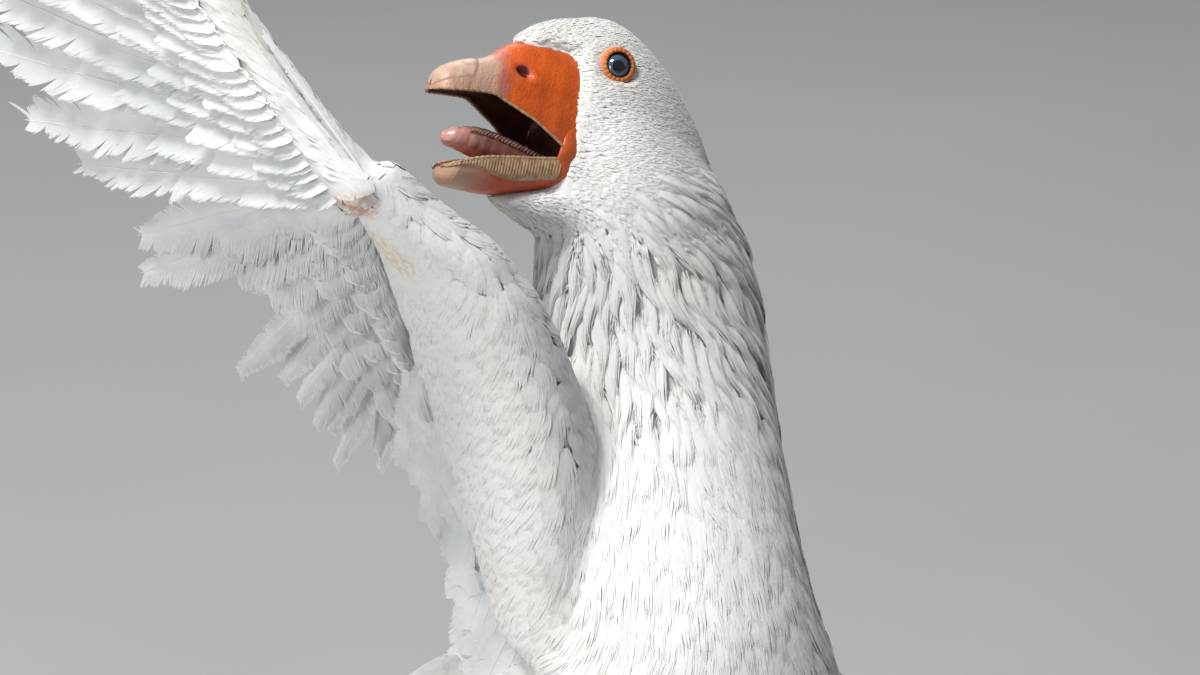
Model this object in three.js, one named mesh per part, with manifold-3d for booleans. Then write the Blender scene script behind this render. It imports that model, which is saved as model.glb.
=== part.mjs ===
// A domestic goose, standing and calling, with the right wing raised and the left wing folded.
// Millimetres, +Z up. The breast faces -Y, the bird's right side is -X, the soles stand on Z = 0.
// The body's own frame has its middle plane at X = 0, and the whole goose is moved at the end so
// that the origin lies on the floor under the middle of its box.

import * as THREE from 'three';
import Module from 'manifold-3d';

const wasm = await Module();
wasm.setup();
const { Manifold } = wasm;

// ---------------------------------------------------------------- driving dimensions

const GAP = 0.3;                      // clearance between neighbouring solids
const BODY_TO_ORIGIN = [111.1, -114.2, 0]; // moves the middle of the box over the origin

const HEAD_HEADING = 187;             // degrees, the bill's direction seen from above
const HEAD_PITCH = 23;                // degrees, the bill raised
const HEAD_ROLL = 18;                 // degrees, the crown tipped to the bird's right
const BILL_TIP = [-102.9, -40.3, 682.1];
const BILL_BASE = -66;                // along the head's own axis, from the tip
const BILL_HALF_WIDTH = 20;
const EYE_AT = [-84, 21.5, 30];       // the left eye in the head's frame
const EYE_RADIUS = 7.6;

const NECK_CUT = 438;                 // heights where the neck meets the trunk and the head
const HEAD_CUT = 612;

const SHOULDER = new THREE.Vector3(-77, -75, 414);
const ELBOW = new THREE.Vector3(-94, 13, 545);
const WRIST = new THREE.Vector3(-154, -78, 650);
const HAND_DIRECTION = new THREE.Vector3(-0.45, 0.48, 0.755).normalize();
const HAND_LENGTH = 165;
const SECONDARIES = 14;
const TERTIALS = 4;
const PRIMARIES = 10;
const VANE_THICKNESS = 1.6;

const FOOT_X = 62;                    // each foot's heel, from the middle plane
const FOOT_Y = 36;
const HOCK = [60, 63, 112];           // the left hock
const MIDDLE_TOE = 98;
const TOE_SPREAD = 27;                // degrees between neighbouring front toes
const TOE_OUT = 8;                    // degrees that each foot turns outwards

const COLOURS = {
  plumage: 0xf2f0ea,
  bill: 0xe4661c,
  nail: 0xe8c3b0,
  tongue: 0xc98a88,
  eye: 0x5c7f95,
  leg: 0xe07a2c,
  claw: 0xcdb9a4,
};

// ---------------------------------------------------------------- small tools

const vec = (x, y, z) => new THREE.Vector3(x, y, z);
const mix = (a, b, t) => a.clone().lerp(b, t);
const degrees = (angle) => THREE.MathUtils.degToRad(angle);
const AXIS_X = vec(1, 0, 0);

// A smooth value between knots [position, value, value, ...] at one position.
function between(knots, position) {
  const last = knots.length - 1;
  const low = Math.max(0, Math.min(last - 1, knots.findLastIndex((knot) => knot[0] <= position)));
  const at = (index) => knots[Math.max(0, Math.min(last, index))];
  const [before, start, end, after] = [at(low - 1), at(low), at(low + 1), at(low + 2)];
  const span = end[0] - start[0];
  const t = Math.max(0, Math.min(1, (position - start[0]) / span));
  return start.slice(1).map((value, column) => {
    const k = column + 1;
    const slope = (from, to) => (to[0] === from[0] ? 0 : (to[k] - from[k]) / (to[0] - from[0]) * span);
    const m0 = low === 0 ? slope(start, end) : slope(before, end);
    const m1 = low + 1 === last ? slope(start, end) : slope(start, after);
    const near = 2 * t ** 3 - 3 * t ** 2 + 1;
    return near * value + (1 - near) * end[k] + (t ** 3 - 2 * t ** 2 + t) * m0 + (t ** 3 - t ** 2) * m1;
  });
}

// Positions from the first knot to the last, with the ends a little denser than the middle.
function positions(knots, steps) {
  const [first, last] = [knots[0][0], knots[knots.length - 1][0]];
  return Array.from({ length: steps + 1 }, (_, i) => {
    const even = i / steps;
    const eased = 0.5 - 0.5 * Math.cos(Math.PI * even);
    return first + (last - first) * (0.6 * even + 0.4 * eased);
  });
}

// A ring of points: an oval whose upper half may be narrower than its lower half.
function oval(centre, side, up, halfWidth, halfHeight, count, taper = 0) {
  return Array.from({ length: count }, (_, i) => {
    const angle = 2 * Math.PI * i / count;
    const wide = Math.cos(angle) * halfWidth * (1 - taper * Math.sin(angle));
    return centre.clone().addScaledVector(side, wide).addScaledVector(up, Math.sin(angle) * halfHeight);
  });
}

// The flat triangles that close a ring.
function capOf(ring) {
  const middle = ring.reduce((sum, p) => sum.add(p), vec(0, 0, 0)).divideScalar(ring.length);
  const normal = vec(0, 0, 0);
  ring.forEach((p, i) => {
    const next = ring[(i + 1) % ring.length];
    normal.add(p.clone().sub(middle).cross(next.clone().sub(middle)));
  });
  normal.normalize();
  const u = ring[0].clone().sub(middle).projectOnPlane(normal).normalize();
  const v = normal.clone().cross(u);
  const flat = ring.map((p) => {
    const from = p.clone().sub(middle);
    return new THREE.Vector2(from.dot(u), from.dot(v));
  });
  return THREE.ShapeUtils.triangulateShape(flat, []);
}

// A solid from the points and triangles of a closed mesh, turned so that its faces point out.
function closed(points, triangles) {
  const volume = triangles.reduce((sum, [a, b, c]) => (
    sum + points[a].dot(points[b].clone().cross(points[c]))), 0);
  const outward = volume > 0 ? triangles : triangles.map(([a, b, c]) => [c, b, a]);
  return new Manifold(new wasm.Mesh({
    numProp: 3,
    vertProperties: new Float32Array(points.flatMap((p) => p.toArray())),
    triVerts: new Uint32Array(outward.flat()),
  }));
}

// A closed solid through rings that all have the same number of points.
function loft(rings) {
  const count = rings[0].length;
  const points = rings.flat();
  const triangles = [];
  for (let i = 0; i + 1 < rings.length; i += 1) {
    for (let j = 0; j < count; j += 1) {
      const [a, b] = [i * count + j, i * count + (j + 1) % count];
      triangles.push([a, b, b + count], [a, b + count, a + count]);
    }
  }
  const end = (rings.length - 1) * count;
  capOf(rings[0]).forEach(([a, b, c]) => triangles.push([c, b, a]));
  capOf(rings[rings.length - 1]).forEach(([a, b, c]) => triangles.push([end + a, end + b, end + c]));
  return closed(points, triangles);
}

// A loft along a path of knots [position, x, y, z, half width, half height]. The width lies along
// the reference side as far as the path lets it, and grow enlarges the solid all round.
function tube(knots, { steps, count, side = AXIS_X, taper = 0, grow = 0 }) {
  const stations = positions(knots, steps).map((position) => between(knots, position));
  const centres = stations.map(([x, y, z]) => vec(x, y, z));
  const rings = stations.map(([, , , wide, high], i) => {
    const ahead = centres[Math.min(i + 1, centres.length - 1)];
    const behind = centres[Math.max(i - 1, 0)];
    const tangent = ahead.clone().sub(behind).normalize();
    const across = side.clone().projectOnPlane(tangent).normalize();
    const up = across.clone().cross(tangent);
    const outwards = (i === centres.length - 1) - (i === 0);
    const centre = centres[i].clone().addScaledVector(tangent, outwards * grow);
    return oval(centre, across, up, wide + grow, high + grow, count, taper);
  });
  return loft(rings);
}

// A fan of flight feathers in one thin sheet, whose feathers part near their tips. It runs from
// one { root, direction, length } to another, along a root line that may bow.
const PART_AT = 0.72;
const SHEET_ROWS = [0, 0.36, PART_AT];
const FINGER_ROWS = [[0.86, 0.84], [0.96, 0.5], [1, 0.16]];

function fan(count, from, to, { curl = 0, bow = vec(0, 0, 0), thick = VANE_THICKNESS, grow = 0 }) {
  const line = (s) => {
    const direction = mix(from.direction, to.direction, s).normalize();
    const root = mix(from.root, to.root, s).addScaledVector(bow, 4 * s * (1 - s));
    const length = THREE.MathUtils.lerp(from.length, to.length, s) + grow;
    return { direction, root, length, end: root.clone().addScaledVector(direction, length) };
  };
  const point = (s, v, face) => {
    const { direction, root, length } = line(s);
    const [before, after] = [line(s - 0.02), line(s + 0.02)];
    const spread = after.root.sub(before.root).add(after.end.sub(before.end));
    const normal = direction.clone().cross(spread).normalize();
    const lift = curl * length * v * v + face * (thick / 2 + grow);
    return root.addScaledVector(direction, v * length).addScaledVector(normal, lift);
  };
  const points = [];
  const triangles = [];
  const pair = (s, v) => {
    points.push(point(s, v, 1), point(s, v, -1));
    return points.length - 2;
  };
  const wall = (a, b) => triangles.push([a, b, b + 1], [a, b + 1, a + 1]);
  const patch = (a, b, c, d) => {
    triangles.push([a, b, c], [a, c, d], [c + 1, b + 1, a + 1], [d + 1, c + 1, a + 1]);
  };
  const widen = (i) => (i === 0 ? -grow : (i === count) * grow) * 0.02;
  const grid = SHEET_ROWS.map((v, row) => Array.from({ length: count + 1 }, (_, i) => (
    pair(i / count + widen(i), row === 0 ? -grow * 0.01 : v))));
  for (let row = 0; row + 1 < grid.length; row += 1) {
    const [low, high] = [grid[row], grid[row + 1]];
    for (let i = 0; i < count; i += 1) patch(low[i], low[i + 1], high[i + 1], high[i]);
    wall(low[0], high[0]);
    wall(high[count], low[count]);
  }
  for (let i = 0; i < count; i += 1) {
    wall(grid[0][i + 1], grid[0][i]);
    let [left, right] = [grid[grid.length - 1][i], grid[grid.length - 1][i + 1]];
    FINGER_ROWS.forEach(([v, share]) => {
      const middle = (i + 0.5) / count;
      const half = share / 2 / count;
      const [nextLeft, nextRight] = [pair(middle - half, v), pair(middle + half, v)];
      patch(left, right, nextRight, nextLeft);
      wall(left, nextLeft);
      wall(nextRight, right);
      [left, right] = [nextLeft, nextRight];
    });
    wall(left, right);
  }
  return closed(points, triangles);
}

// Joined solids, and a solid without others.
const join = (solids) => solids.reduce((all, solid) => all.add(solid));
const without = (solid, others) => others.reduce((rest, other) => rest.subtract(other), solid);

// The largest body of a solid, which drops slivers that a cut leaves behind.
function largest(solid) {
  const bodies = solid.decompose();
  return bodies.reduce((best, body) => (body.volume() > best.volume() ? body : best));
}

function placed(solid, matrix) {
  return solid.transform(matrix.elements);
}

function box(low, high) {
  const ring = (z) => [vec(low[0], low[1], z), vec(high[0], low[1], z),
    vec(high[0], high[1], z), vec(low[0], high[1], z)];
  return loft([ring(low[2]), ring(high[2])]);
}

// ---------------------------------------------------------------- head frame

const headPlace = new THREE.Matrix4().compose(
  vec(...BILL_TIP),
  new THREE.Quaternion().setFromEuler(new THREE.Euler(
    degrees(HEAD_ROLL), degrees(-HEAD_PITCH), degrees(HEAD_HEADING), 'ZYX')),
  vec(1, 1, 1));

// A loft in the head's frame from knots [x, top, bottom, half width].
function headLoft(knots, { steps, count, taper = 0, grow = 0 }) {
  return loft(positions(knots, steps).map((x) => {
    const [top, bottom, half] = between(knots, x);
    const centre = vec(x, 0, (top + bottom) / 2);
    return oval(centre, vec(0, 1, 0), vec(0, 0, 1), half + grow, (top - bottom) / 2 + grow, count, taper);
  }));
}

// ---------------------------------------------------------------- bill, tongue and eyes

const UPPER_BILL = [
  [BILL_BASE - 3, 35, -17, BILL_HALF_WIDTH],
  [-50, 33.5, -6, 17],
  [-40, 32, -2, 14.5],
  [-33, 26, 0.5, 13],
  [-26, 21.5, 2.5, 12],
  [-12, 16, 0.8, 11],
  [-4, 10.5, -1, 8.5],
  [1, 6, 0, 3.5],
];

const LOWER_BILL = [
  [BILL_BASE - 1, -18, -33, 17],
  [-55, -21, -37, 15],
  [-40, -24.5, -41, 13],
  [-26, -29, -42.5, 11],
  [-15, -32, -42.5, 8],
  [-10, -35.5, -41.5, 4],
];

const NAIL_START = -21;

// A station's place in an enlarged solid, whose two ends move outwards.
function stretched(x, knots, grow) {
  if (x <= knots[0][0]) return x - grow;
  return x >= knots[knots.length - 1][0] ? x + grow : x;
}

// One section of a bill half: an arch over a hollow. The edge is where the two halves bite.
function archRing(x, edge, crown, half, hollow, grow) {
  const sign = Math.sign(crown - edge);
  const outside = 7;
  const inside = 3;
  const outer = Array.from({ length: outside }, (_, i) => {
    const angle = Math.PI * i / (outside - 1);
    const rise = Math.sin(angle) ** 0.8 * (Math.abs(crown - edge) + 2 * grow);
    return vec(x, Math.cos(angle) * (half + grow), edge + sign * (rise - grow));
  });
  const inner = Array.from({ length: inside }, (_, i) => {
    const angle = Math.PI * (1 - (i + 1) / (inside + 1));
    const rise = Math.sin(angle) * hollow * Math.abs(crown - edge);
    return vec(x, Math.cos(angle) * half * 0.82, edge + sign * (grow > 0 ? -2 * grow : rise));
  });
  return [...outer, ...inner];
}

function upperBill(grow = 0) {
  return loft(positions(UPPER_BILL, 9).map((x) => {
    const [top, edge, half] = between(UPPER_BILL, x);
    return archRing(stretched(x, UPPER_BILL, grow), edge, top, half, 0.3, grow);
  }));
}

function lowerBill(grow = 0) {
  return loft(positions(LOWER_BILL, 6).map((x) => {
    const [edge, bottom, half] = between(LOWER_BILL, x);
    return archRing(stretched(x, LOWER_BILL, grow), edge, bottom, half, 0.55, grow);
  }));
}

// The hard nail is the front of the upper bill, parted by a thin cut.
function billPieces() {
  const cut = box([NAIL_START, -40, -80], [NAIL_START + GAP, 40, 80]);
  const pieces = upperBill().subtract(cut).decompose();
  pieces.sort((a, b) => b.volume() - a.volume());
  return { upper: pieces[0], nail: pieces[1] };
}

const TONGUE = [
  [-62, -17, -27, 7],
  [-45, -13, -29, 7.5],
  [-28, -12, -26, 7],
  [-16, -14.5, -24.5, 6],
  [-9, -18, -24, 3],
];

function eyeball(side, grow = 0) {
  const count = 12;
  const rows = 8;
  const rings = [];
  for (let row = 1; row < rows; row += 1) {
    const polar = Math.PI * row / rows;
    rings.push(oval(vec(EYE_AT[0], side * EYE_AT[1], EYE_AT[2] + (EYE_RADIUS + grow) * Math.cos(polar)),
      vec(1, 0, 0), vec(0, 1, 0), (EYE_RADIUS + grow) * Math.sin(polar),
      (EYE_RADIUS + grow) * Math.sin(polar), count));
  }
  return loft(rings);
}

// ---------------------------------------------------------------- flesh of head, neck and trunk

const SKULL = [
  [-154, 8, -30, 17],
  [-143, 22, -44, 24],
  [-130, 35, -52, 28],
  [-115, 47, -56, 30.5],
  [-100, 55, -55, 31],
  [-86, 57, -50, 29.5],
  [-75, 54, -44, 26.5],
  [-67, 51.5, -39, 22.5],
  [-62, 50, -10, 15],
  [-54, 46, 12, 13],
  [-46, 40, 24, 10],
  [-38, 33, 30, 3],
];

const CHIN = [
  [-92, -20, -57, 25],
  [-76, -24, -54, 20],
  [-62, -30, -50, 14],
  [-51, -36, -46.5, 10],
  [-43, -38.5, -44.5, 6],
  [-38, -40, -43, 2.5],
];

const NECK = [
  [0, 0, -80, 318, 94, 90],
  [1, 0, -103, 368, 80, 78],
  [2, -1, -113, 402, 66, 68],
  [3, -2, -111, 428, 58, 58],
  [4, -1, -100, 455, 54, 53],
  [5, 1, -85, 483, 53, 49],
  [6, 3, -66, 518, 54, 46],
  [7, 4, -50, 552, 56, 46],
  [8, 2, -43, 582, 54, 45],
  [9, -5, -41, 608, 47, 42],
  [10, -13, -37, 632, 37, 36],
  [11, -18, -29, 654, 27, 28],
];

const TRUNK = [
  [0, 0, -194, 318, 12, 14],
  [1, 0, -184, 319, 50, 54],
  [2, 0, -160, 320, 81, 86],
  [3, 0, -118, 317, 104, 111],
  [4, 0, -66, 300, 112, 115],
  [5, 0, -8, 277, 114, 113],
  [6, 0, 52, 253, 112, 106],
  [7, 0, 108, 236, 106, 98],
  [8, 0, 158, 217, 91, 80],
  [9, 0, 202, 200, 67, 57],
  [10, 0, 236, 192, 44, 37],
  [11, 0, 254, 188, 24, 20],
];

const trunkLoft = (grow = 0) => tube(TRUNK, { steps: 13, count: 22, taper: 0.1, grow });
const neckLoft = (grow = 0) => tube(NECK, { steps: 13, count: 18, grow });

function headFlesh() {
  const skull = headLoft(SKULL, { steps: 13, count: 18 });
  const chin = headLoft(CHIN, { steps: 5, count: 12 });
  return placed(join([skull, chin]), headPlace);
}

// The open mouth between the halves of the bill, back to the corner of the gape.
function mouth() {
  const [wide, back, front] = [BILL_HALF_WIDTH + 6, BILL_BASE - 2, -20];
  const ring = (y) => [vec(back, y, -15), vec(back, y, -32), vec(front, y, -40), vec(front, y, 0)];
  return loft([ring(-wide), ring(wide)]);
}

function fleshPieces() {
  const carved = [upperBill(2 * GAP), lowerBill(2 * GAP), mouth(), eyeball(1, GAP), eyeball(-1, GAP)];
  const whole = join([trunkLoft(), neckLoft(), headFlesh()]);
  const all = without(whole, carved.map((solid) => placed(solid, headPlace)));
  const slab = (height) => box([-400, -400, height], [400, 400, height + GAP]);
  const bodies = all.subtract(slab(NECK_CUT)).subtract(slab(HEAD_CUT)).decompose();
  bodies.sort((a, b) => b.volume() - a.volume());
  const [trunk, ...rest] = bodies;
  const height = (body) => body.boundingBox().max[2];
  const upper = rest.slice(0, 2).sort((a, b) => height(a) - height(b));
  return { trunk, neck: upper[0], head: upper[1] };
}

// ---------------------------------------------------------------- raised right wing

const SPAN = WRIST.clone().sub(SHOULDER);
const SPAN_AXIS = SPAN.clone().normalize();
const BACKWARD = ELBOW.clone().sub(SHOULDER).projectOnPlane(SPAN_AXIS).normalize();
const FORWARD = vec(0.84, -0.54, 0.05).projectOnPlane(SPAN_AXIS).normalize();
const WRIST_BACK = WRIST.clone().addScaledVector(BACKWARD, 16).addScaledVector(FORWARD, -8);
const SHOULDER_BACK = vec(-61, -18, 400);

// How far the leading edge stands before the line from shoulder to wrist, and the half thickness.
const ARM_EDGE = [
  [0, 28, 24],
  [0.1, 40, 27],
  [0.28, 54, 28],
  [0.45, 59, 27],
  [0.67, 57, 24],
  [0.8, 48, 21],
  [0.9, 31, 18],
  [1, 14, 14],
];

function armTrailingEdge(u) {
  const elbowAt = 0.55;
  return u < elbowAt ? mix(SHOULDER_BACK, ELBOW, u / elbowAt)
    : mix(ELBOW, WRIST_BACK, (u - elbowAt) / (1 - elbowAt));
}

// One section of a wing: an aerofoil, thick at the front and thin at the back.
function wingRing(front, back, span, thick, count, grow) {
  const chord = back.clone().sub(front);
  const reach = chord.length();
  const across = span.clone().cross(chord).normalize();
  const centre = mix(front, back, 0.5);
  return Array.from({ length: count }, (_, i) => {
    const angle = 2 * Math.PI * i / count;
    const along = -Math.cos(angle);
    const share = Math.sin(angle) * (0.78 - 0.42 * along);
    const out = centre.clone().addScaledVector(chord, along * (0.5 + grow / reach));
    return out.addScaledVector(across, thick * share + Math.sin(angle) * grow * 1.6);
  });
}

function armPad(grow = 0) {
  const steps = 10;
  const rings = Array.from({ length: steps + 1 }, (_, i) => {
    const u = -0.06 + 1.09 * i / steps;
    const [forward, thick] = between(ARM_EDGE, Math.max(0, Math.min(1, u)));
    const front = SHOULDER.clone().addScaledVector(SPAN, u).addScaledVector(FORWARD, forward);
    return wingRing(front, armTrailingEdge(Math.max(0, Math.min(1, u))), SPAN, thick, 14, grow);
  });
  return loft(rings);
}

const HAND_EDGE = [
  [0, 10, 17, 16],
  [0.12, 8, 18, 14],
  [0.5, 7, 17, 11],
  [0.85, 5, 13, 8],
  [1, 3, 6, 4],
];

const HAND_BACK = vec(-0.47, 0.87, -0.14).projectOnPlane(HAND_DIRECTION).normalize();

function handPad(grow = 0) {
  const steps = 7;
  const rings = Array.from({ length: steps + 1 }, (_, i) => {
    const u = -0.04 + 1.04 * i / steps;
    const [forward, back, thick] = between(HAND_EDGE, Math.max(0, u));
    const bone = WRIST.clone().addScaledVector(HAND_DIRECTION, u * HAND_LENGTH);
    return wingRing(bone.clone().addScaledVector(HAND_BACK, -forward),
      bone.clone().addScaledVector(HAND_BACK, back), HAND_DIRECTION, thick, 10, grow);
  });
  return loft(rings);
}

// The thumb feathers lie along the front of the hand.
function alula() {
  const start = WRIST.clone().addScaledVector(HAND_DIRECTION, 14).addScaledVector(HAND_BACK, -9);
  const path = [[0, 10, 7], [0.3, 11, 8], [0.7, 8, 5], [1, 2, 1.5]];
  const across = HAND_DIRECTION.clone().cross(HAND_BACK).normalize();
  return loft(path.map(([t, wide, thick]) => {
    const centre = start.clone().addScaledVector(HAND_DIRECTION, t * 84).addScaledVector(HAND_BACK, 4 * t);
    return oval(centre, HAND_BACK, across, thick, wide, 10);
  }));
}

const SECONDARY_AT_WRIST = vec(-0.479, 0.844, -0.243);
const SECONDARY_AT_ELBOW = vec(0.21, 0.68, -0.70);

function rightSecondaries(grow = 0) {
  return fan(SECONDARIES,
    { root: WRIST_BACK.clone(), direction: SECONDARY_AT_WRIST, length: 178 },
    { root: ELBOW.clone(), direction: SECONDARY_AT_ELBOW, length: 168 },
    { curl: 0.06, grow });
}

function rightTertials(grow = 0) {
  return fan(TERTIALS,
    { root: mix(ELBOW, SHOULDER_BACK, 0.1), direction: vec(0.128, 0.584, -0.794), length: 92 },
    { root: mix(ELBOW, SHOULDER_BACK, 0.72), direction: vec(0.18, 0.518, -0.837), length: 46 },
    { curl: 0.05, grow });
}

const PRIMARY_AT_WRIST = vec(-0.478, 0.855, -0.2);
const PRIMARY_AT_TIP = vec(-0.52, 0.45, 0.73);

function rightPrimaries(grow = 0) {
  const tip = WRIST.clone().addScaledVector(HAND_DIRECTION, HAND_LENGTH * 0.95);
  return fan(PRIMARIES,
    { root: WRIST.clone().addScaledVector(HAND_DIRECTION, 6).addScaledVector(HAND_BACK, 15),
      direction: PRIMARY_AT_WRIST, length: 195 },
    { root: tip.addScaledVector(HAND_BACK, 6), direction: PRIMARY_AT_TIP, length: 290 },
    { curl: 0.07, grow });
}

// ---------------------------------------------------------------- folded left wing

const FOLDED_ARM = [
  [0, 76, -120, 333, 8, 22],
  [1, 84, -108, 332, 16, 42],
  [2, 94, -78, 329, 22, 60],
  [3, 101, -30, 322, 26, 74],
  [4, 101, 26, 310, 26, 74],
  [5, 94, 74, 297, 24, 64],
  [6, 87, 102, 288, 19, 53],
  [7, 84, 116, 284, 12, 45],
];

const OUTWARD = vec(0.93, 0, 0.36);

const foldedArm = (grow = 0) => tube(FOLDED_ARM, { steps: 9, count: 14, side: OUTWARD, grow });

function leftSecondaries(grow = 0) {
  return fan(7,
    { root: vec(62, 118, 328), direction: vec(-0.13, 0.94, -0.34), length: 150 },
    { root: vec(110, 118, 238), direction: vec(-0.38, 0.92, -0.1), length: 112 },
    { bow: vec(14, 2, 8), thick: 5, grow });
}

function leftPrimaries(grow = 0) {
  return fan(4,
    { root: vec(48, 200, 262), direction: vec(-0.13, 0.95, -0.3), length: 182 },
    { root: vec(66, 200, 234), direction: vec(-0.24, 0.96, -0.16), length: 160 },
    { thick: 4, grow });
}

// ---------------------------------------------------------------- tail

const TAIL = [
  [0, 0, 200, 203, 52, 38],
  [1, 0, 240, 190, 44, 27],
  [2, 0, 275, 183, 38, 18],
  [3, 0, 300, 180, 30, 12],
  [4, 0, 312, 179, 18, 6],
];

const tailFlesh = (grow = 0) => tube(TAIL, { steps: 5, count: 14, grow });

function tailFeathers(grow = 0) {
  return fan(9,
    { root: vec(-36, 292, 179), direction: vec(-0.27, 0.95, -0.02), length: 108 },
    { root: vec(36, 292, 179), direction: vec(0.27, 0.95, -0.02), length: 108 },
    { bow: vec(0, 24, 4), thick: 3, grow });
}

// ---------------------------------------------------------------- legs

const THIGH = [
  [0, 62, 24, 232, 46, 58],
  [1, 62, 30, 196, 41, 50],
  [2, 61, 43, 158, 27, 32],
  [3, 60, 55, 132, 16, 19],
  [4, 60, 60, 121, 11, 13],
];

const SHANK = [
  [0, ...HOCK.slice(0, 2), HOCK[2] + 12, 8, 10],
  [1, ...HOCK, 9.5, 12.5],
  [2, 60, 57, 92, 7, 9.5],
  [3, 61, 48, 56, 6.2, 8.6],
  [4, FOOT_X, FOOT_Y + 2, 22, 7.5, 10],
  [5, FOOT_X, FOOT_Y - 4, 9, 9, 11],
];

const mirrorPath = (knots) => knots.map(([t, x, ...rest]) => [t, -x, ...rest]);

function toeDirection(side, index) {
  const angle = degrees(side * TOE_OUT + index * TOE_SPREAD);
  return vec(Math.sin(angle), -Math.cos(angle), 0);
}

const TOE_LENGTHS = { '-1': 0.84, 0: 1, 1: 0.9 };
const TOE_KNOTS = [[0, 9, 13], [0.3, 6.5, 10], [0.45, 7, 10.5], [0.65, 5.6, 8], [0.75, 6, 8.4], [1, 4, 5]];
const TOE_OUTLINE = [[0.8, 0], [1, 0.4], [0.5, 1], [-0.5, 1], [-1, 0.4], [-0.8, 0]];
const WEB_THICKNESS = 2.6;
const WEB_REACH = 0.94;
const WEB_DIP = 0.16;
const CLAW_LENGTH = 12;

// The point on the floor where the toes meet.
const heel = (side) => vec(side * FOOT_X, FOOT_Y - 6, 0);

function toe(side, index) {
  const direction = toeDirection(side, index);
  const length = MIDDLE_TOE * TOE_LENGTHS[index * side];
  const across = vec(-direction.y, direction.x, 0);
  const rings = TOE_KNOTS.map(([t, half, high]) => {
    const centre = heel(side).addScaledVector(direction, t * length);
    return TOE_OUTLINE.map(([w, z]) => centre.clone().addScaledVector(across, w * half).setZ(z * high));
  });
  return { solid: loft(rings), direction, length, across };
}

// The web joins the three toes and curves in between their ends.
function web(side) {
  const reach = (index) => MIDDLE_TOE * TOE_LENGTHS[index * side] * WEB_REACH;
  const edge = [];
  for (let step = -8; step <= 8; step += 1) {
    const index = step / 8;
    const dip = 1 - WEB_DIP * Math.sin(Math.PI * Math.abs(index));
    const from = reach(index < 0 ? -1 : 1);
    const far = THREE.MathUtils.lerp(reach(0), from, Math.abs(index)) * dip;
    edge.push(heel(side).addScaledVector(toeDirection(side, index), far));
  }
  const outline = [heel(side), ...edge];
  return loft([outline, outline.map((p) => p.clone().setZ(WEB_THICKNESS))]);
}

function hindToe(side) {
  const direction = vec(side * 0.35, 0.94, 0).normalize();
  const across = vec(-direction.y, direction.x, 0);
  const rings = [[0, 5, 12, 24], [0.6, 4.4, 9, 18], [1, 3, 8, 13]].map(([t, half, low, high]) => {
    const centre = vec(side * FOOT_X, FOOT_Y - 2, 0).addScaledVector(direction, 6 + t * 18);
    return oval(centre.setZ((low + high) / 2), across, vec(0, 0, 1), half, (high - low) / 2, 8);
  });
  return loft(rings);
}

// The foot's ankle block joins the toes under the shank.
function foot(side, grow = 0) {
  const toes = [-1, 0, 1].map((index) => toe(side, index).solid);
  const knots = [[0, 12, 13], [9, 11.5, 12.5], [16 + grow, 8 + grow, 10 + grow]];
  const ankle = loft(knots.map(([z, half, deep]) => (
    oval(vec(side * FOOT_X, FOOT_Y - 3, z), AXIS_X, vec(0, 1, 0), half, deep, 12))));
  return join([web(side), ...toes, hindToe(side), ankle]);
}

// A claw at a toe's end, curving down to the floor.
function claw(side, index) {
  const { direction, across, length } = toe(side, index);
  const start = heel(side).addScaledVector(direction, length + GAP);
  const rings = [[0, 3.6, 0.4, 6.4], [0.5, 2.8, 0.2, 4.8], [1, 0.8, 0, 1.4]].map(([t, half, low, high]) => (
    oval(start.clone().addScaledVector(direction, t * CLAW_LENGTH).setZ((low + high) / 2),
      across, vec(0, 0, 1), half, (high - low) / 2, 8)));
  return loft(rings);
}

// ---------------------------------------------------------------- the goose

const goose = new THREE.Group();
goose.position.set(...BODY_TO_ORIGIN);

function finish(colour, roughness) {
  return new THREE.MeshStandardMaterial({ color: COLOURS[colour], roughness, metalness: 0 });
}

function addNode(name, solid, material, parent = goose) {
  const { vertProperties, triVerts } = largest(solid).getMesh();
  const geometry = new THREE.BufferGeometry();
  geometry.setAttribute('position', new THREE.BufferAttribute(vertProperties, 3));
  geometry.setIndex(new THREE.BufferAttribute(triVerts, 1));
  geometry.computeVertexNormals();
  const mesh = new THREE.Mesh(geometry, material);
  mesh.name = name;
  parent.add(mesh);
}

const plumage = finish('plumage', 0.9);
const horn = finish('bill', 0.45);
const skin = finish('leg', 0.6);

function addHead() {
  const frame = new THREE.Group();
  frame.applyMatrix4(headPlace);
  goose.add(frame);
  const { upper, nail } = billPieces();
  addNode('bill_upper', upper, horn, frame);
  addNode('bill_nail', nail, finish('nail', 0.4), frame);
  addNode('bill_lower', lowerBill(), horn, frame);
  const tongue = headLoft(TONGUE, { steps: 5, count: 10 });
  addNode('tongue', without(tongue, [lowerBill(GAP)]), finish('tongue', 0.4), frame);
  addNode('eye_left', eyeball(1), finish('eye', 0.1), frame);
  addNode('eye_right', eyeball(-1), finish('eye', 0.1), frame);
}

function addBody() {
  const { trunk, neck, head } = fleshPieces();
  addNode('head', head, plumage);
  addNode('neck', neck, plumage);
  addNode('trunk', trunk, plumage);
  const tail = without(tailFlesh(), [trunkLoft(GAP)]);
  addNode('tail', tail, plumage);
  addNode('tail_feathers', without(tailFeathers(), [tailFlesh(GAP), trunkLoft(GAP)]), plumage);
}

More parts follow.
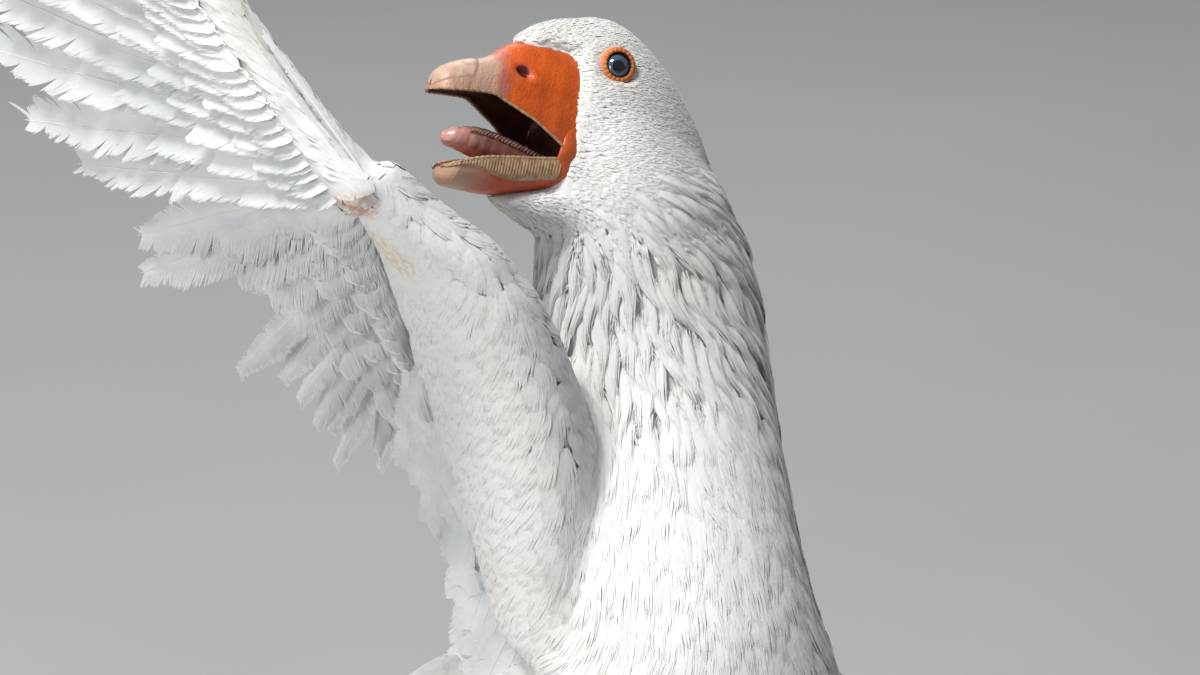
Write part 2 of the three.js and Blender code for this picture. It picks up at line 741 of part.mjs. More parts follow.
function addRightWing() {
  const body = [trunkLoft(GAP), neckLoft(GAP)];
  addNode('wing_right_arm', without(armPad(), body), plumage);
  addNode('wing_right_hand', without(handPad(), [armPad(GAP)]), plumage);
  const pads = [armPad(GAP), handPad(GAP)];
  addNode('wing_right_alula', without(alula(), pads), plumage);
  addNode('wing_right_secondaries', without(rightSecondaries(), [...pads, ...body]), plumage);
  addNode('wing_right_tertials',
    without(rightTertials(), [...pads, ...body, rightSecondaries(GAP)]), plumage);
  addNode('wing_right_primaries', without(rightPrimaries(), [...pads, rightSecondaries(GAP)]), plumage);
}

function addLeftWing() {
  const body = [trunkLoft(GAP), neckLoft(GAP), tailFlesh(GAP)];
  addNode('wing_left_arm', without(foldedArm(), body), plumage);
  addNode('wing_left_secondaries', without(leftSecondaries(), [...body, foldedArm(GAP)]), plumage);
  addNode('wing_left_primaries',
    without(leftPrimaries(), [...body, foldedArm(GAP), leftSecondaries(GAP)]), plumage);
}

function addLeg(name, side) {
  const path = (knots) => (side > 0 ? knots : mirrorPath(knots));
  const shank = (grow) => tube(path(SHANK), { steps: 8, count: 10, grow });
  const thigh = tube(path(THIGH), { steps: 6, count: 14 });
  addNode(`thigh_${name}`, without(thigh, [trunkLoft(GAP), shank(GAP)]), plumage);
  addNode(`shank_${name}`, without(shank(0), [foot(side, GAP)]), skin);
  addNode(`foot_${name}`, foot(side), skin);
  [-1, 0, 1].forEach((index, i) => {
    addNode(`claw_${name}_${i + 1}`, claw(side, index), finish('claw', 0.4));
  });
}

addHead();
addBody();
addRightWing();
addLeftWing();
addLeg('left', 1);
addLeg('right', -1);

export default goose;
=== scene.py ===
"""A domestic goose that stands and calls with its right wing raised: its skin, coat, bill, eyes and legs."""

import math
from functools import partial

import bpy
import numpy as np
from mathutils import Matrix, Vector
from mathutils.bvhtree import BVHTree
from mathutils.kdtree import KDTree

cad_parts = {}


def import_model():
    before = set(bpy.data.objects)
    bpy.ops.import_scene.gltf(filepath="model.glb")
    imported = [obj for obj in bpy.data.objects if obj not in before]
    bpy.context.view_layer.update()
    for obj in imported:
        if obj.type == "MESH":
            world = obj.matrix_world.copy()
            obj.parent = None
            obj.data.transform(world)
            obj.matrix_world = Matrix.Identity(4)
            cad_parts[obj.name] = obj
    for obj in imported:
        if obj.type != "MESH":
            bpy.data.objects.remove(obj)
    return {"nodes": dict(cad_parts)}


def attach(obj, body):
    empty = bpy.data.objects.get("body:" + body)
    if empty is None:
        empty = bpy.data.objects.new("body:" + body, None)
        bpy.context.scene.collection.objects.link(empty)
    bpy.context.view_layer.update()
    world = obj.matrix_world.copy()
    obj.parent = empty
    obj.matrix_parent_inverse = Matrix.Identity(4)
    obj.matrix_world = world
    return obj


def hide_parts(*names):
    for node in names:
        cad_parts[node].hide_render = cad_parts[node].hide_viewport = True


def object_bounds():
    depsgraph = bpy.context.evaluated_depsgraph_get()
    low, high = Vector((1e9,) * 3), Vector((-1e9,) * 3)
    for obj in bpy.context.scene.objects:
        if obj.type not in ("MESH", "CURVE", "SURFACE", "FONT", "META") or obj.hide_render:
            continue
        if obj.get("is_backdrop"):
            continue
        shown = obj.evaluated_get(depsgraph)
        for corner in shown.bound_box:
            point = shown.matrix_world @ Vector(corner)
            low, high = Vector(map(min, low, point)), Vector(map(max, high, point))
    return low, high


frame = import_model()
CAD_BOX = [list(corner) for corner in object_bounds()]

MM = 0.001
BAKE = "OFBake"
BODY_ORIGIN = np.array((111.1, -114.2, 0.0))  # the body's own frame in the row frame, mm

# ---- numbers and vectors


def world(points):
    """Points of the body's own frame, in mm, as metres in the row frame."""
    return (np.asarray(points, float) + BODY_ORIGIN) * MM


def in_body(points):
    """Row-frame points, in metres, as mm in the body's own frame."""
    return np.asarray(points, float) / MM - BODY_ORIGIN


def unit(vectors):
    """Vectors of length one."""
    vectors = np.asarray(vectors, float)
    return vectors / np.maximum(np.linalg.norm(vectors, axis=-1, keepdims=True), 1e-12)


def flatten(vectors, normals):
    """The parts of vectors that lie in the surface."""
    return vectors - normals * np.sum(vectors * normals, axis=-1, keepdims=True)


def ramp(value, start, end):
    """A smooth step from 0 at start to 1 at end."""
    t = np.clip((value - start) / (end - start), 0, 1)
    return t * t * (3 - 2 * t)


def mix(a, b, t):
    return a + (b - a) * t


def inside(value, low, high):
    return (value > low) & (value < high)


def between(knots, position):
    """Smooth values at positions between knots [position, value, value, ...]."""
    knots = np.asarray(knots, float)
    position = np.atleast_1d(np.asarray(position, float))
    low = np.clip(np.searchsorted(knots[:, 0], position, side="right") - 1, 0, len(knots) - 2)
    before, start, end, after = (knots[np.clip(low + shift, 0, len(knots) - 1)] for shift in (-1, 0, 1, 2))
    span = end[:, :1] - start[:, :1]
    t = np.clip((position[:, None] - start[:, :1]) / span, 0, 1)
    slope_in, slope_out = (gain[:, 1:] / gain[:, :1] * span for gain in (end - before, after - start))
    return ((2 * t ** 3 - 3 * t ** 2 + 1) * start[:, 1:] + (t ** 3 - 2 * t ** 2 + t) * slope_in
            + (3 * t ** 2 - 2 * t ** 3) * end[:, 1:] + (t ** 3 - t ** 2) * slope_out)


def stack(*columns):
    """Numbers side by side, as the last axis of an array."""
    return np.stack(np.broadcast_arrays(*columns), -1)


def turn(axis, degrees):
    """The rotation matrix about one axis."""
    return np.array(Matrix.Rotation(math.radians(degrees), 3, axis))


# The head's frame: X from the back of the head to the bill's tip, Y to the bird's left, Z to its crown.
HEAD_TURN = turn("Z", 187) @ turn("Y", -23) @ turn("X", 18)
BILL_TIP = np.array((-102.9, -40.3, 682.1))
HEAD_FORWARD = HEAD_TURN[:, 0]
HEAD_FRAME = Matrix(HEAD_TURN).to_4x4()
HEAD_FRAME.translation = world(BILL_TIP)


def in_head(points):
    """Row-frame points, in metres, as mm in the head's frame."""
    return (in_body(points) - BILL_TIP) @ HEAD_TURN


def from_head(points):
    """Points of the head's frame, in mm, as metres in the row frame."""
    return world(points @ HEAD_TURN.T + BILL_TIP)


# ---- meshes


def add_object(name, data, matrix=None):
    piece = bpy.data.objects.new(name, data)
    bpy.context.scene.collection.objects.link(piece)
    if matrix is not None:
        piece.matrix_world = matrix
    return piece


def build_mesh(name, points, faces):
    mesh = bpy.data.meshes.new(name)
    mesh.from_pydata(points, [], faces, shade_flat=False)
    return mesh


def shape_mesh(mesh, points):
    """Moves a mesh's points and shades it smooth."""
    mesh.vertices.foreach_set("co", points.astype(np.float32).ravel())
    mesh.shade_smooth()
    mesh.update()


def joined(blocks):
    """One array of points and one of faces from blocks of (points, faces)."""
    points, faces, start = [], [], 0
    for block_points, block_faces in blocks:
        points.append(block_points)
        faces.append(block_faces + start)
        start += len(block_points)
    return np.vstack(points), np.vstack(faces)


def finish_piece(piece, kind, replaced=()):
    """The piece given its finish and body, with the CAD nodes that it stands for hidden."""
    material, slot = finishes[kind]
    piece.data.materials.append(material)
    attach(piece, "root")
    if replaced:
        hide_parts(*replaced)


def read(items, attribute, width, kind=np.int32):
    """One attribute of all of a mesh's items, in rows."""
    values = np.empty(len(items) * width, kind)
    items.foreach_get(attribute, values)
    return values.reshape(-1, width)


def mesh_arrays(mesh):
    """Points, edges and triangles of a mesh, and the corners of its triangles."""
    mesh.calc_loop_triangles()
    return (read(mesh.vertices, "co", 3, np.float32).astype(float), read(mesh.edges, "vertices", 2),
            read(mesh.loop_triangles, "vertices", 3), read(mesh.loop_triangles, "loops", 3))


def point_normals(points, triangles):
    a, b, c = points[triangles.T]
    ways = np.cross(b - a, c - a).T
    return unit(stack(*(sum(np.bincount(corner, way, len(points)) for corner in triangles.T) for way in ways)))


def spread(values, edges, rounds, share=0.6):
    """Values at a mesh's points, each drawn towards the mean of its neighbours."""
    a, b = edges.T
    count = len(values)
    degree = np.maximum(np.bincount(edges.ravel(), minlength=count), 1)[:, None]
    for _ in range(rounds):
        total = stack(*(np.bincount(a, column[b], count) + np.bincount(b, column[a], count)
                        for column in values.T))
        values = mix(values, total / degree, share)
    return values


def grid_faces(rows, columns, closed=True):
    """The quads of a grid of points whose rows may close on themselves."""
    across = columns if closed else columns - 1
    row, column = np.meshgrid(np.arange(rows - 1), np.arange(across), indexing="ij")
    first, second = row * columns + column, row * columns + (column + 1) % columns
    return stack(first, second, second + columns, first + columns).reshape(-1, 4)


def sheet(points, closed=False):
    """Points and faces of a grid of points."""
    return points.reshape(-1, 3), grid_faces(*points.shape[:2], closed)


def node_copy(name, grow=0.0):
    """Points and triangles of a CAD node, with the points moved out by grow."""
    points, _, triangles, _ = mesh_arrays(frame["nodes"][name].data)
    merged, index = np.unique(points.round(6), axis=0, return_inverse=True)
    triangles = index.ravel()[triangles]
    return merged + point_normals(merged, triangles) * grow, triangles


def remeshed(name, nodes, voxel, grow=0.0):
    """One closed mesh round copies of CAD nodes."""
    copies = joined([node_copy(node, grow) for node in nodes])
    source = add_object(name + "_source", build_mesh(name + "_source", *copies))
    modifier = source.modifiers.new("voxels", "REMESH")
    modifier.mode = "VOXEL"
    modifier.voxel_size = voxel
    evaluated = source.evaluated_get(bpy.context.evaluated_depsgraph_get())
    mesh = bpy.data.meshes.new_from_object(evaluated)
    mesh.name = name
    bpy.data.objects.remove(source)
    return mesh


# ---- materials


class Nodes:
    """A material's node tree, with short ways to add what its finish needs."""

    def __init__(self, name, roughness, **constants):
        self.material = bpy.data.materials.new(name)
        self.material.use_nodes = True
        self.tree = self.material.node_tree
        self.shader = self.tree.nodes["Principled BSDF"]
        for socket, value in {"Roughness": roughness, **constants}.items():
            self.fill(self.shader, socket.replace("_", " "), value)
        self.place = self.add("ShaderNodeTexCoord")["Object"]

    def fill(self, node, socket, value):
        """Sets a node's input to a constant, or links it to another node's output."""
        target = node.inputs[socket]
        if isinstance(value, bpy.types.NodeSocket):
            self.tree.links.new(value, target)
        else:
            target.default_value = (*value, 1.0) if target.type == "RGBA" else value

    def add(self, kind, inputs=None, **settings):
        """The outputs of a new node with these inputs and settings."""
        node = self.tree.nodes.new(kind)
        for key, value in settings.items():
            setattr(node, key, value)
        for socket, value in (inputs or {}).items():
            self.fill(node, socket, value)
        return node.outputs

    def noise(self, scale, detail=3.0):
        return self.add("ShaderNodeTexNoise", {"Vector": self.place, "Scale": scale, "Detail": detail,
                                               "Roughness": 0.55})["Fac"]

    def cells(self, scale, stretch=(1, 1, 1)):
        place = self.add("ShaderNodeMapping", {"Vector": self.place, "Scale": stretch})["Vector"]
        return self.add("ShaderNodeTexVoronoi", {"Vector": place, "Scale": scale})["Distance"]

    def steps(self, value, low, high, to_low=0.0, to_high=1.0):
        """The value mapped smoothly from one range to another."""
        ends = {"Value": value, "From Min": low, "From Max": high, "To Min": to_low, "To Max": to_high}
        return self.add("ShaderNodeMapRange", ends, interpolation_type="SMOOTHSTEP")["Result"]

    def distance(self, centre):
        """How far each place is from a centre."""
        ends = {0: self.place, 1: tuple(centre)}
        return self.add("ShaderNodeVectorMath", ends, operation="DISTANCE")["Value"]

    def near(self, centre, radius, soft=0.6):
        """1 at a place and 0 beyond a radius from it."""
        return self.steps(self.distance(centre), radius * (1 - soft), radius, 1.0, 0.0)

    def along(self, axis):
        return self.add("ShaderNodeSeparateXYZ", {0: self.place})[axis]

    def uneven_x(self, scale, depth, shift=0.0):
        """The place along X with some noise added."""
        wobble = self.math("MULTIPLY_ADD", self.noise(scale), depth, shift)
        return self.math("ADD", self.along("X"), wobble)

    def math(self, operation, *values):
        return self.add("ShaderNodeMath", dict(enumerate(values)), operation=operation)[0]

    def blend(self, share, a, b):
        return self.add("ShaderNodeMix", {"Factor": share, 6: a, 7: b}, data_type="RGBA")[2]

    def mottled(self, light, dark, scale, detail=4, high=0.68):
        """Two colours in soft patches."""
        return self.blend(self.steps(self.noise(scale, detail), 0.35, high), light, dark)

    def finish(self, base, relief=None, strength=0.3, depth=0.0004):
        """The material, once its colour and relief are linked to its shader."""
        self.fill(self.shader, "Base Color", base)
        if relief is not None:
            bump = self.add("ShaderNodeBump", {"Height": relief, "Strength": strength, "Distance": depth})
            self.fill(self.shader, "Normal", bump["Normal"])
        return self.material


WHITE = (0.86, 0.85, 0.82)
CREAM = (0.80, 0.76, 0.68)
COOL = (0.80, 0.82, 0.84)
# Faint stains: [place, radius, colour], on the raised wing's wrist and below it.
STAINS = [
    (world((-159, -81, 641)), 0.015, (0.74, 0.47, 0.34)),
    (world((-136, -68, 614)), 0.02, (0.76, 0.64, 0.46)),
]


def markings(nodes):
    """The plumage's colour, which skin and coat share: white, with faint warm and cool patches."""
    warm = nodes.steps(nodes.noise(16, 4), 0.5, 0.72, 0.0, 0.5)
    cool = nodes.steps(nodes.noise(9, 2), 0.5, 0.75, 0.0, 0.45)
    tint = nodes.blend(cool, nodes.blend(warm, WHITE, CREAM), COOL)
    for centre, radius, stain in STAINS:
        patchy = nodes.steps(nodes.noise(260, 4), 0.35, 0.6)
        tint = nodes.blend(nodes.math("MULTIPLY", nodes.near(centre, radius), patchy), tint, stain)
    return tint


def plumage_material(name, grain):
    nodes = Nodes(name, 0.72, Sheen_Weight=0.25, Sheen_Roughness=0.5, Specular_IOR_Level=0.25)
    return nodes.finish(markings(nodes), nodes.noise(grain, 4), 0.35, 0.0006)


def flight_material():
    nodes = Nodes("flight_feathers", 0.6, Sheen_Weight=0.2, Specular_IOR_Level=0.25)
    # Soft random patches of white and grey-green: the grey-green, and the white kept below the plumage's
    # white, are painted shade, the look of the wing's translucent underside in shade.
    base = nodes.mottled((0.82, 0.82, 0.80), (0.68, 0.70, 0.695), 26, 3, 0.65)
    return nodes.finish(base, nodes.noise(700))


def quill_material():
    nodes = Nodes("quill", 0.42, Specular_IOR_Level=0.4)
    base = nodes.blend(nodes.noise(70, 2), (0.80, 0.77, 0.71), (0.86, 0.84, 0.79))
    return nodes.finish(base, nodes.noise(900, 2), 0.1, 0.0003)


# ---- skin

# How deep the coat is over each of the nodes that the skin replaces, in mm.
COAT_DEPTH = {"head": 1.6, "neck": 3.6, "trunk": 3.6, "tail": 3.0, "thigh_left": 3.4, "thigh_right": 3.4,
              "wing_right_arm": 2.2, "wing_right_hand": 2.0, "wing_left_arm": 3.0}
FLESH = list(COAT_DEPTH)
BARE_DEPTH = 0.5  # round the bill, mm
SKIN_VOXEL, SKIN_GROWTH = 0.0033, 0.4 * MM
SKIN_ROUNDS, JOINT_ROUNDS = 4, 60  # rounds of smoothing, everywhere and at the shoulder

# Places on the raised wing, in mm in the body's own frame, and the ways along and across its parts.
SHOULDER = np.array((-77, -75, 414))
ELBOW = np.array((-94, 13, 545))
WRIST = np.array((-154, -78, 650))
HAND_ALONG = unit((-0.45, 0.48, 0.755))
HAND_BACK = unit(flatten(np.array((-0.47, 0.87, -0.14)), HAND_ALONG))
HAND_LENGTH = 165
SPAN_AXIS = unit(WRIST - SHOULDER)
BACKWARD = unit(flatten(ELBOW - SHOULDER, SPAN_AXIS))
FORWARD = unit(flatten(np.array((0.84, -0.54, 0.05)), SPAN_AXIS))
WRIST_BACK = WRIST + 16 * BACKWARD - 8 * FORWARD
SHOULDER_BACK = np.array((-61, -18, 400))
# Where the arm's end flows into the trunk, and how far off it is left as it is and fully smoothed.
SHOULDER_JOINT, JOINT_REACH = np.array((-82, -45, 408)), (85, 40)

CHEEK = np.array((-35, -75, 650))  # the neck's feathers fan out from here
CANDIDATES = 5  # places tried for each root
# How fast the neck's ruffled feathers swing from side to side, in radians for each mm, and how far.
RUFFLE, RUFFLE_DRIFT = np.array((0.14, 0.10, 0.19)), np.array((0.09, -0.12, 0.05))
RUFFLE_SWING = 0.34


def under_bill(points):
    """Points of the head drawn in below the bill's horn, so that its rear edge stands proud."""
    local = in_head(points)
    x, y, z = local.T
    covered = ramp(x, -71, -66) * ramp(z, 36, 33) * ramp(z, -37, -33) * (np.abs(y) < 40)
    local[:, 1] = y * (1 - 0.22 * covered)
    return np.where((covered > 0)[:, None], from_head(local), points)


def in_throat(points):
    """Whether the skin at these points lines the open mouth."""
    x, y, z = in_head(points).T
    room = np.where(inside(z, -12, 10) & (x > -70), 18.5, np.where(z < 10, 16, 13))
    return inside(x, -71.5, -46) & inside(z, -27, 26) & (np.abs(y) < room)


class Skin:
    """The goose's skin: one closed mesh inside its flesh nodes, with the lie of the coat at each point."""

    def __init__(self):
        mesh = remeshed("skin", FLESH, SKIN_VOXEL, SKIN_GROWTH)
        points, edges, triangles, _ = mesh_arrays(mesh)
        points = spread(points, edges, SKIN_ROUNDS)
        joint = ramp(np.linalg.norm(in_body(points) - SHOULDER_JOINT, axis=1), *JOINT_REACH)[:, None]
        points = mix(points, spread(points, edges, JOINT_ROUNDS), joint)
        share = self.shares(points, edges)
        near_bill = ramp(in_head(points)[:, 0], -78, -64) * ramp(in_body(points)[:, 2], 600, 625)
        depth = mix(share @ np.array(list(COAT_DEPTH.values())), BARE_DEPTH, near_bill)
        self.points = under_bill(points - point_normals(points, triangles) * depth[:, None] * MM)
        self.depth = depth * MM
        self.edges = edges
        self.normals = unit(spread(point_normals(self.points, triangles), edges, 2))
        self.share = dict(zip(FLESH, share.T))
        self.local = in_head(self.points)
        self.body = in_body(self.points)
        self.flow = self.lie()
        shape_mesh(mesh, self.points)
        throat = in_throat(read(mesh.polygons, "center", 3, np.float32))
        mesh.polygons.foreach_set("material_index", throat.astype(np.int32))
        self.object = add_object("skin", mesh)
        self.triangles, self.uv = self.unwrap()
        self.tree = BVHTree.FromPolygons(self.points.tolist(), triangles.tolist())
        self.face_flow = unit(self.flow[triangles].mean(1))
        self.face_normal = unit(self.normals[triangles].mean(1))

    def shares(self, points, edges):
        """How much each point belongs to each flesh node."""
        distances = np.empty((len(points), len(FLESH)))
        places = points.tolist()
        for column, node in enumerate(FLESH):
            tree = BVHTree.FromPolygons(*(part.tolist() for part in node_copy(node)))
            distances[:, column] = [tree.find_nearest(place)[3] for place in places]
        return spread(np.eye(len(FLESH))[distances.argmin(1)], edges, 10)

    def lie(self):
        """The direction in which the coat lies at each point."""
        y, z = self.body[:, 1], self.body[:, 2]
        down, thigh = unit((0, -0.3, -1)), unit((0, 0.5, -0.85))
        fan = unit(self.body - CHEEK)
        jaw = ramp(self.local[:, 2], -10, -45) * ramp(self.local[:, 0], -80, -100)
        trunk = stack(0, 0.25 + ramp(y, -160, 0), -0.75 * (1 - 0.7 * ramp(y, -120, 60)))
        ways = {
            "head": unit(mix(-HEAD_FORWARD, down, jaw[:, None] * 0.6)),
            "neck": unit(mix(down, fan, ramp(z, 470, 560)[:, None] * 0.6)),
            "trunk": unit(trunk), "tail": unit((0, 1, -0.1)), "thigh_left": thigh, "thigh_right": thigh,
            "wing_right_arm": unit(-0.75 * SPAN_AXIS + 0.65 * BACKWARD - 0.35 * FORWARD),
            "wing_right_hand": unit(0.8 * HAND_ALONG + 0.6 * HAND_BACK),
            "wing_left_arm": unit((0, 0.95, -0.32)),
        }
        flow = sum(self.share[node][:, None] * ways[node] for node in FLESH)
        for _ in range(4):
            flow = unit(flatten(spread(flow, self.edges, 5), self.normals))
        wave = np.sin(self.body @ RUFFLE + 1.6 * np.sin(self.body @ RUFFLE_DRIFT))
        wave = RUFFLE_SWING * wave * self.share["neck"] * ramp(z, 490, 530)
        return unit(flow + wave[:, None] * np.cross(self.normals, flow))

    def unwrap(self):
        """The skin's triangles, and an unwrap of its own shape as a place for each of their corners."""
        mesh = self.object.data
        bpy.context.view_layer.objects.active = self.object
        self.object.select_set(True)
        mesh.uv_layers.new(name=BAKE)
        bpy.ops.object.mode_set(mode="EDIT")
        bpy.ops.mesh.select_all(action="SELECT")
        bpy.ops.uv.smart_project(angle_limit=math.radians(66), island_margin=0.004)
        bpy.ops.object.mode_set(mode="OBJECT")
        _, _, triangles, corners = mesh_arrays(mesh)
        return triangles, read(mesh.uv_layers[BAKE].data, "uv", 2, np.float32)[corners]

    def roots(self, weight, spacing, seed):
        """Places about `spacing` mm apart, where the weight of each point allows them."""
        rng = np.random.default_rng(seed)
        a, b, c = self.points[self.triangles.T]
        area = np.linalg.norm(np.cross(b - a, c - a), axis=1) / 2 * (weight[self.triangles].mean(1) > 0.02)
        count = int(area.sum() / (spacing * MM) ** 2 * CANDIDATES)
        chosen = np.searchsorted(np.cumsum(area), rng.random(count) * area.sum())
        chosen = np.minimum(chosen, len(area) - 1)
        u, v = rng.random(count), rng.random(count)
        over = u + v > 1
        u[over], v[over] = 1 - u[over], 1 - v[over]
        share = stack(1 - u - v, u, v)

        def value(values):
            return np.einsum("nk,nk...->n...", share, values[self.triangles[chosen]])

        cells = np.floor(value(self.points) / (spacing * MM)).astype(int)
        _, first = np.unique(cells, axis=0, return_index=True)
        first = first[value(weight)[first] > rng.random(len(first))]
        share, chosen = share[first], chosen[first]
        return {"place": value(self.points), "normal": unit(value(self.normals)),
                "flow": unit(value(self.flow)), "depth": value(self.depth), "local": value(self.local),
                "uv": np.einsum("nk,nkc->nc", share, self.uv[chosen])}

    def trace(self, roots, lengths, steps, stray, seed):
        """Lines over the skin from the roots, along the lie of the coat, and the normals along them."""
        rng = np.random.default_rng(seed)
        place, normal, way = roots["place"], roots["normal"], roots["flow"]
        angle = rng.normal(0, 1, len(place))[:, None] * math.radians(stray)
        lines, normals = [place], [normal]
        step = (lengths / steps)[:, None] * MM
        for _ in range(steps):
            aimed = unit(way * np.cos(angle) + np.cross(normal, way) * np.sin(angle))
            hits = [self.tree.find_nearest(point) for point in (place + aimed * step).tolist()]
            place = np.array([hit[0] for hit in hits])
            found = np.array([hit[2] for hit in hits])
            normal = self.face_normal[found]
            way = unit(mix(flatten(way, normal), self.face_flow[found], 0.6))
            lines.append(place)
            normals.append(normal)
        return np.stack(lines, 1), np.stack(normals, 1)


# ---- tufts
# A template is a bundle of ribbons in the coat's own measures: along its line from 0 to 1, across it
# in half widths, and the rise above it in heights.

PATCH = 0.003  # a tuft's patch on the bake map
COAT_PIECE = 95000  # quads in one piece of coat, at most
TUFT_DROOP, UNBENT = 60.0, 1e9  # the radius in mm to which a form bends across its line


def strips(paths, aspect):
    """Ribbons from paths of rows [along, across, rise, half width]; aspect is length over half width."""
    blocks = []
    for path in paths:
        path = np.asarray(path, float)
        way = unit(np.gradient(path[:, :2] * (aspect, 1), axis=0))
        side = stack(-way[:, 1] / aspect, way[:, 0]) * path[:, 3:4]
        pair = [np.column_stack([path[:, :2] + sign * side, path[:, 2]]) for sign in (-1, 1)]
        blocks.append(sheet(np.stack(pair, 1)))
    return joined(blocks)


def tuft(rng, strands=4):
    """A few short bristles that part towards their tips."""
    along = np.array((0, 0.35, 0.7, 1))
    paths = []
    for index in range(strands):
        seat = (index + 0.5) / strands * 2 - 1
        reach, lean, lift = rng.uniform(0.7, 1), rng.normal(0, 0.3), rng.uniform(0.6, 1.2)
        paths.append(stack(along * reach, seat * 0.7 + (lean + seat * 0.3) * along, lift * along,
                           0.34 - 0.26 * along ** 2))
    return strips(paths, 4)


def lock(rng, strands=13):
    """A rounded ridge of long strands that draw together at its tip."""
    along = np.linspace(0, 1, 6)
    swell = np.sin(math.pi * (0.05 + 0.83 * along))
    bow = rng.normal(0, 0.35)
    paths = []
    for index in range(strands):
        seat = (index + rng.uniform(0.2, 0.8)) / strands * 2 - 1
        reach = 1 - 0.18 * abs(seat) - rng.uniform(0, 0.14)
        across = seat * (0.35 + 0.65 * swell) + bow * along * (1 - along) + rng.normal(0, 0.12) * along ** 2
        rise = (1 - 0.8 * seat * seat) * (0.2 + 0.8 * swell) + rng.normal(0, 0.05)
        paths.append(stack(along * reach, across, rise, 0.14 * (1.05 - along ** 3)))
    return strips(paths, 8)


def petal(rng, strands=15):
    """A soft body feather: strands that fan out from its root and end along a rounded, uneven tip."""
    along = np.array((0, 0.28, 0.55, 0.8, 1))
    bow = rng.normal(0, 0.15)
    paths = []
    for index in range(strands):
        seat = (index + rng.uniform(0.25, 0.75)) / strands * 2 - 1
        reach = (1 - 0.3 * seat * seat) * rng.uniform(0.84, 1)
        across = seat * (0.25 + 0.75 * np.sin(math.pi * (0.08 + 0.55 * along))) + bow * along ** 2
        across = across + rng.normal(0, 0.07) * along ** 2
        rise = (1 - 0.85 * seat * seat) * np.sin(math.pi * (0.15 + 0.7 * along)) + rng.normal(0, 0.08)
        paths.append(stack(along * reach, across, rise, 1.9 / strands * (1 - 0.9 * along ** 2.4)))
    return strips(paths, 3)


def wisps(rng, strands=3):
    """Loose fine strands."""
    along = np.array((0, 0.3, 0.65, 1))
    paths = []
    for _ in range(strands):
        seat, lean, bend = rng.uniform(-1, 1), rng.normal(0, 0.8), rng.normal(0, 0.6)
        paths.append(stack(along * rng.uniform(0.6, 1), seat + lean * along + bend * along ** 2,
                           rng.uniform(0.5, 1.3) * along, 0.16 - 0.13 * along))
    return strips(paths, 6)


def laid(shape, lines, normals, half_width, height, lift, droop, seat):
    """A template's points on each of a set of lines; every measure across and above is in mm."""
    along, across, rise = shape.T
    steps = lines.shape[1] - 1
    position = along.clip(0, 1) * steps
    low = np.minimum(position.astype(int), steps - 1)
    t = (position - low)[None, :, None]
    centre, normal, tangent = (mix(values[:, low], values[:, low + 1], t)
                               for values in (lines, normals, np.gradient(lines, axis=1)))
    side = unit(np.cross(normal, tangent))
    offset = across * half_width[:, None]
    settle = seat + (1 - seat) * np.clip(along, 0, 1) ** 0.7
    up = rise * height[:, None] + lift[:, None] * settle - offset ** 2 / (2 * droop)
    return centre + (side * offset[..., None] + unit(normal) * up[..., None]) * MM


class Coat:
    """Coat pieces of one region, split so that none is too heavy."""

    def __init__(self, name, kind, replaced=()):
        self.name, self.kind, self.replaced = name, kind, replaced
        self.blocks, self.uvs, self.quads, self.pieces = [], [], 0, 0

    def add(self, template, lines, normals, uv, half_width=1.0, height=1.0, lift=0.0, droop=UNBENT,
            seat=0.1, patch=None):
        """The template on each line, with its patch of the bake map at each line's place on the map."""
        shape, faces = template
        if patch is None:
            patch = stack(shape[:, 1] * 0.5, shape[:, 0] - 0.5) * PATCH
        sizes = [np.broadcast_to(size, len(lines)) for size in (half_width, height, lift)]
        each = max(1, COAT_PIECE // len(faces))
        for first in range(0, len(lines), each):
            part = slice(first, first + each)
            points = laid(shape, lines[part], normals[part], *(size[part] for size in sizes), droop, seat)
            count = len(points)
            if self.quads + count * len(faces) > COAT_PIECE:
                self.flush()
            shift = np.arange(count)[:, None, None] * len(shape)
            self.blocks.append((points.reshape(-1, 3), (faces[None] + shift).reshape(-1, 4)))
            self.uvs.append((uv[part][:, None] + patch[None]).reshape(-1, 2))
            self.quads += count * len(faces)

    def flush(self):
        """Makes a piece of what has been added since the last one."""
        if not self.blocks:
            return
        self.pieces += 1
        name = f"coat_{self.name}_{self.pieces}"
        points, faces = joined(self.blocks)
        mesh = build_mesh(name, points, faces)
        bake = mesh.uv_layers.new(name=BAKE)
        bake.data.foreach_set("uv", np.vstack(self.uvs).astype(np.float32)[faces.ravel()].ravel())
        finish_piece(add_object(name, mesh), self.kind, self.replaced if self.pieces == 1 else ())
        self.blocks, self.uvs, self.quads = [], [], 0


def spaced(roots, across, along):
    """The roots left when none stands within an ellipse, `across` by `along` mm, of an earlier one."""
    grid, kept = {}, []
    places, ways, normals = roots["place"] / MM, roots["flow"], roots["normal"]
    sides = np.cross(normals, ways)
    for index in np.random.default_rng(5).permutation(len(places)).tolist():
        x, y, z = np.floor(places[index] / along).astype(int).tolist()
        near = [other for i in (-1, 0, 1) for j in (-1, 0, 1) for k in (-1, 0, 1)
                for other in grid.get((x + i, y + j, z + k), ())]
        if near:
            apart = places[near] - places[index]
            gap = ((apart @ sides[index] / across) ** 2 + (apart @ ways[index] / along) ** 2
                   + (apart @ normals[index] / along) ** 2)
            if gap.min() < 1:
                continue
        grid.setdefault((x, y, z), []).append(index)
        kept.append(index)
    return {key: values[kept] for key, values in roots.items()}


